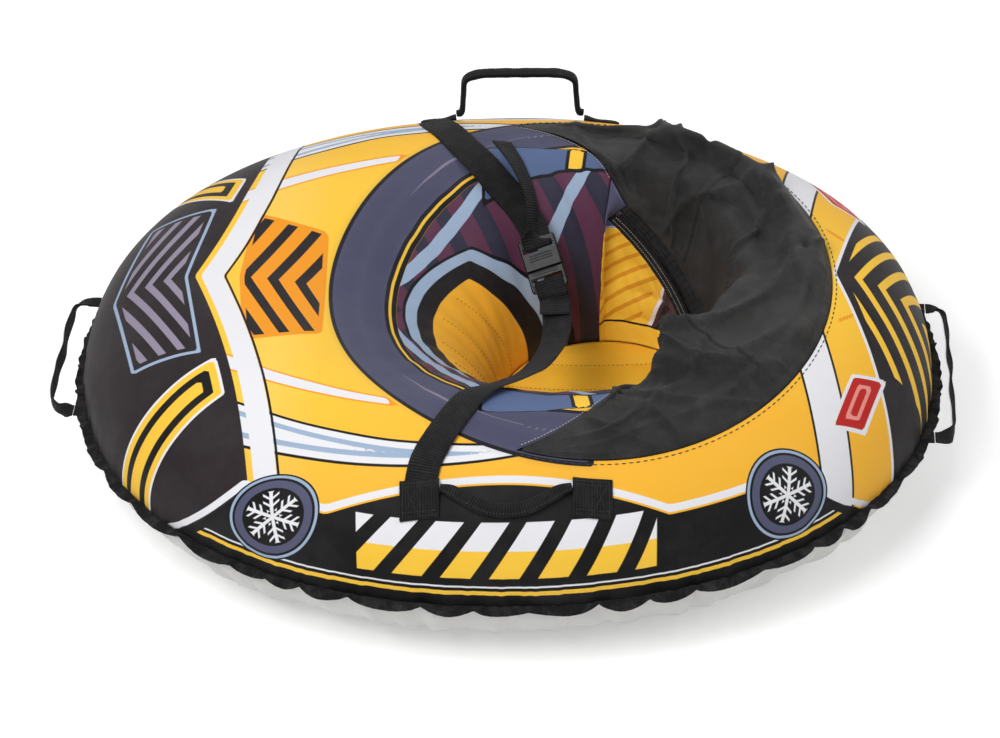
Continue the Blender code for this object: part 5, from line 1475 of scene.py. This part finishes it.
GRIP_Y = 0.3380
GRIP_WIDTH = 0.0170
GRIP_THICKNESS = 0.0080
GRIP_END_WIDTH = 0.0100
GRIP_CLEARANCE = 0.0076
GRIP_END_GAP = 0.0008
PATCH_LENGTH = 0.0460
PATCH_HEIGHT = 0.0420
PATCH_THICKNESS = 0.0028
PATCH_LIFT = 0.0018
PATCH_TOP = 0.3280
PATCH_EDGE = 0.02
PATCH_STITCH = 0.0030
PATCH_THREAD = 0.00042
GRIP_STITCH = 0.0036
NEAR_GRIP = ((1.0, 0.0), (0.86, 0.10), (0.62, 0.45), (0.32, 0.87), (0.0, 1.0))
FAR_GRIP = ((1.0, 0.0), (0.93, 0.02), (0.885, 0.43), (0.84, 0.85), (0.66, 0.97), (0.33, 1.0), (0.0, 1.0))


def folded_strap(route, sides, face, width, thickness, seed):
    """Webbing folded lengthwise: a soft flattened tube with a slot along one edge, uneven by hand."""
    around = np.linspace(0, 2 * pi, 25)
    uneven = 1 + 0.05 * waves(run_along(route, 0), (0.021, 0.034), seed)
    rows = []
    for a in around:
        slot = 1 - 0.42 * np.exp(-((a - pi) / 0.30) ** 2)
        x = np.sign(cos(a)) * abs(cos(a)) ** 0.7 * (width / 2) * slot * uneven
        z = np.sign(sin(a)) * abs(sin(a)) ** 0.8 * (thickness / 2) * uneven
        rows.append(route + sides * x[:, None] + face * z[:, None])
    grid, run = closed_strip(rows, route)
    return grid, np.stack(np.broadcast_arrays(run[None, :], around[:, None] * 0.004), -1), {}


def patch(side, middle_x, half, sign):
    """A sewn patch with rounded, slightly frayed edges, raised where it holds the grip's end."""
    down = np.linspace(-PATCH_EDGE, 1 + PATCH_EDGE, 34)[:, None]
    out = np.linspace(0.0, 1.0, 36)[None, :]
    fray = waves(down * PATCH_HEIGHT, (0.0029, 0.0047), 91 + sign) * 0.0005
    x = middle_x + sign * (half + GRIP_END_GAP + PATCH_LENGTH * out) + sign * fray * out ** 4
    y = side * (PATCH_TOP + PATCH_HEIGHT * 0.80 * down) + 0 * out
    raised = ease(1.5 - np.abs(np.abs(y) - GRIP_Y) / GRIP_END_WIDTH) * np.clip(1 - 2 * out, 0, 1) ** 2
    edge = np.minimum(np.minimum(out, 1 - out) * PATCH_LENGTH,
                      np.minimum(down + PATCH_EDGE, 1 + PATCH_EDGE - down) * PATCH_HEIGHT)
    pillow = 0.0009 * ease(edge / 0.006) - 0.0004
    grid = slope_point(x + 0 * y, y, PATCH_LIFT + (GRIP_CLEARANCE - PATCH_LIFT) * raised + pillow)
    return grid, np.stack(np.broadcast_arrays(out * PATCH_LENGTH, down * PATCH_HEIGHT), -1), {}


def handle(word, side, middle_x, span, shares, height, rise, broad):
    """A grip, its two patches and their stitches."""
    axis_point = slope_point(np.array(middle_x), np.array(side * GRIP_Y), np.array(GRIP_CLEARANCE))
    half = span / 2
    knots = [np.array((-half * x, 0, 0)) + rise * height * z for x, z in shares]
    knots += [k * (-1, 1, 1) for k in reversed(knots[:-1])]
    route = axis_point + smooth(np.stack(knots), 12)
    place = np.minimum(np.arange(len(route)), np.arange(len(route))[::-1]) / (len(route) - 1)
    width = GRIP_END_WIDTH + (GRIP_WIDTH - GRIP_END_WIDTH) * ease(place * 4)
    thickness = GRIP_THICKNESS * 0.90 * (1 + 0.10 * bell(place - 0.06, 0.03))
    sides, ahead = route_sides(route, broad)
    face = np.cross(sides, ahead)
    body = word + "_grip"
    add_piece(body + "_strap", [folded_strap(route, sides, face, width, thickness, 95)], webbing, body,
              [word + "_handle_grip"])
    seam = route + sides * (width * 0.30)[:, None]
    lift = face * GRIP_THICKNESS * 0.44
    sew(body + "_stitches", [(seam + lift)[8:-8], (seam - lift)[8:-8]], dark_thread, GRIP_STITCH,
        body, STRONG_THREAD)
    for spot, sign in (("front", -1), ("rear", 1)):
        cloth = patch(side, middle_x, half, sign)
        name = word + "_sewn_patch_" + spot
        add_piece(name, [cloth], webbing, "cover", [word + "_patch_" + spot], away_from_core,
                  PATCH_THICKNESS * 0.8, 0.0)
        top = cloth[0] + outward_normals(cloth[0]) * 0.0014
        # a frame of stitches with a second row above and below, and a cross in the outer half
        lines = [top[3, 3:-3], top[-4, 3:-3], top[3:-3, -4], top[3:-3, 17], top[6, 3:-3], top[-7, 3:-3]]
        lines += [[top[first + step * round(k * 27 / 20), 17 + round(k * 15 / 20)] for k in range(21)]
                  for first, step in ((3, 1), (30, -1))]
        sew(name + "_stitches", lines, dark_thread, PATCH_STITCH, "cover", PATCH_THREAD)


low_side, high_side = [slope_point(np.array(0.0), np.array(-y), np.array(0.0))
                       for y in (GRIP_Y + GRIP_WIDTH, GRIP_Y)]
slope = (low_side - high_side) / np.linalg.norm(low_side - high_side)
handle("near", -1, 0.0, 0.1530, NEAR_GRIP, 0.0270, slope, slope)
handle("far", 1, 0.0170, 0.1680, FAR_GRIP, 0.0670, np.array((0.0, 0, 1)), np.array((0.0, 1, 0)))


# Nose and rear loops
# A tow loop at the nose and a hanging loop at the rear: flat webbing held by short tabs in the
# rim's seam, and twisted so that it stands on edge at its outermost point.

LOOP_SHARES = ((1.0, 0.0), (1.0, 0.30), (0.98, 0.60), (0.88, 0.88), (0.68, 0.99), (0.35, 1.0), (0.0, 1.0))
LOOP_WEBBING = 0.0250
LOOP_END = 0.0180
LOOP_TAB = 0.0210
TAB_THICKNESS = 0.0030
TAB_GAP = 0.0010
RIM_OUTSET = 0.0135
LOOP_STITCH = 0.0034
LOOP_THREAD = 0.00040
STRAP_END = 0.0015
STRAP_GAIN = 0.0009


def loop(name, node, body, end_side, from_y, to_y, reach, standoff, twists, seed):
    """One loop with its stitches, and the fixed tabs that hold its ends in the seam."""
    ends = []
    for y in (from_y, to_y):
        share = abs(y / (HALF_WIDTH + RIM_OUTSET)) ** OVAL_POWER
        x = (HALF_LENGTH + RIM_OUTSET) * (1 - share) ** (1 / OVAL_POWER)
        ends.append(np.array((end_side * (x + standoff), y, RIM_HEIGHT)))
    middle, chord = (ends[0] + ends[1]) / 2, (ends[1] - ends[0]) / 2
    outward = np.cross((0, 0, 1), chord)
    outward = outward / np.linalg.norm(outward) * np.sign(outward[0] * end_side)
    knots = [outward * reach * b - chord * a for a, b in LOOP_SHARES]
    knots += [outward * reach * b + chord * a for a, b in reversed(LOOP_SHARES[:-1])]
    route = middle + smooth(np.stack(knots), 10)
    run = run_along(route, 0)
    turn = pi / 2 * (ease(run / twists[0]) + 1 - ease((run[-1] - run) / twists[1]))[:, None]
    guide = chord / np.linalg.norm(chord) * np.cos(turn) + np.array((0, 0, 1)) * np.sin(turn)
    place = np.minimum(run, run[-1] - run) / run[-1]
    width = LOOP_END + (LOOP_WEBBING - LOOP_END) * ease(place * 3)
    bend = waves(run, (0.055, 0.09), seed) * 0.0015 * ease(place * 6)
    route = route + outward * bend[:, None]
    # the ends are thinner, so that the loop can swing clear of its tabs
    strap = band(route, guide, width, STRAP_END + STRAP_GAIN * ease(place * 14), dish=0.05)
    add_piece(name, [strap], webbing, body, [node])
    sides, ahead = route_sides(route, guide)
    lines = []
    for level in (-1, 1):
        top = np.cross(sides, ahead) * 0.0016 * level
        lines += [(route + sides * (width * 0.36)[:, None] * s + top)[6:-6] for s in (-1, 1)]
    sew(name + "_stitches", lines, dark_thread, LOOP_STITCH, body, LOOP_THREAD)
    tab_run = np.linspace(-LOOP_TAB, -TAB_GAP, 9)[:, None]
    tabs = [band(end + outward * tab_run, chord + 0 * tab_run, LOOP_END, TAB_THICKNESS) for end in ends]
    add_piece(name + "_tabs", tabs, webbing, "cover")


loop("nose_loop_strap", "tow_loop", "nose_loop", -1, 0.125, -0.075, 0.0330, 0.0032, (0.075, 0.018), 97)
loop("rear_loop_strap", "rear_loop", "back_loop", 1, 0.100, -0.134, 0.0250, 0.0037, (0.040, 0.040), 98)


# Floor, light and camera
# A pale studio floor that turns into the background, soft lamps, and the camera at the angle of
# the photograph.

FLOOR_REACH = 12.0
FLOOR_COLOR = (0.95, 0.95, 0.95, 1)
FLOOR_GLOW = 0.29
SKY_LIGHT = 0.26
CAMERA_DISTANCE = 3.701
CAMERA_HEIGHT = radians(43.99)
CAMERA_TURN = radians(1.011)
CAMERA_ROLL = radians(-1.121)
CAMERA_AIM = Vector((-0.010, -0.003, 0.119))
LENS = 104.711


def floor_material():
    """A pale matt floor with a little glow for the camera only, so that all but the shadow is white."""
    made, shader, place = new_material("floor", 0.9)
    shader.inputs["Base Color"].default_value = FLOOR_COLOR
    shader.inputs["Emission Color"].default_value = (1, 1, 1, 1)
    lead(put(place.tree, "LightPath", None, "Is Camera Ray") * FLOOR_GLOW, shader, "Emission Strength")
    return made


floor_mesh = bpy.data.meshes.new("floor")
corners = [(FLOOR_REACH * x, FLOOR_REACH * y, 0) for x, y in ((-1, -1), (1, -1), (1, 1), (-1, 1))]
floor_mesh.from_pydata(corners, [], [(0, 1, 2, 3)])
floor_mesh.materials.append(floor_material())
floor = new_object("floor", floor_mesh)
floor.location.z = -0.0003

world = bpy.data.worlds.new("studio")
bpy.context.scene.world = world
world.use_nodes = True
sky = world.node_tree
camera_ray, glossy_ray, clear_ray = [put(sky, "LightPath", None, "Is " + kind + " Ray")
                                     for kind in ("Camera", "Glossy", "Transmission")]
seen = math("MAXIMUM", math("MAXIMUM", camera_ray, glossy_ray), clear_ray)
lead(seen * (1 - SKY_LIGHT) + SKY_LIGHT, sky.nodes["Background"], "Strength")
sky.nodes["Background"].inputs["Color"].default_value = (1, 1, 1, 1)

for name, place, aim, size, power in (("key lamp", (-0.9, -1.2, 2.6), (0, 0, 0.1), 1.3, 54),
                                      ("fill lamp", (2.0, -0.6, 1.8), (0, 0, 0.1), 1.6, 12),
                                      ("back lamp", (0.4, 2.2, 1.9), (0, 0, 0.2), 1.4, 16)):
    light = bpy.data.lights.new(name, "AREA")
    light.size = size
    light.energy = power
    lamp = new_object(name, light)
    lamp.location = place
    lamp.rotation_euler = (Vector(aim) - Vector(place)).to_track_quat("-Z", "Y").to_euler()

camera = bpy.data.cameras.new("camera")
camera.sensor_width = 36
camera.lens = LENS
view = new_object("camera", camera)
back = Vector((sin(CAMERA_TURN) * cos(CAMERA_HEIGHT), -cos(CAMERA_TURN) * cos(CAMERA_HEIGHT),
               sin(CAMERA_HEIGHT)))
level_right = (-back).cross(Vector((0, 0, 1))).normalized()
level_up = level_right.cross(-back)
right = level_right * cos(CAMERA_ROLL) + level_up * sin(CAMERA_ROLL)
up = -level_right * sin(CAMERA_ROLL) + level_up * cos(CAMERA_ROLL)
turned = Matrix((right, up, back)).transposed().to_4x4()
view.matrix_world = Matrix.Translation(CAMERA_AIM + back * CAMERA_DISTANCE) @ turned
bpy.context.scene.camera = view
bpy.context.scene.view_settings.view_transform = "Standard"
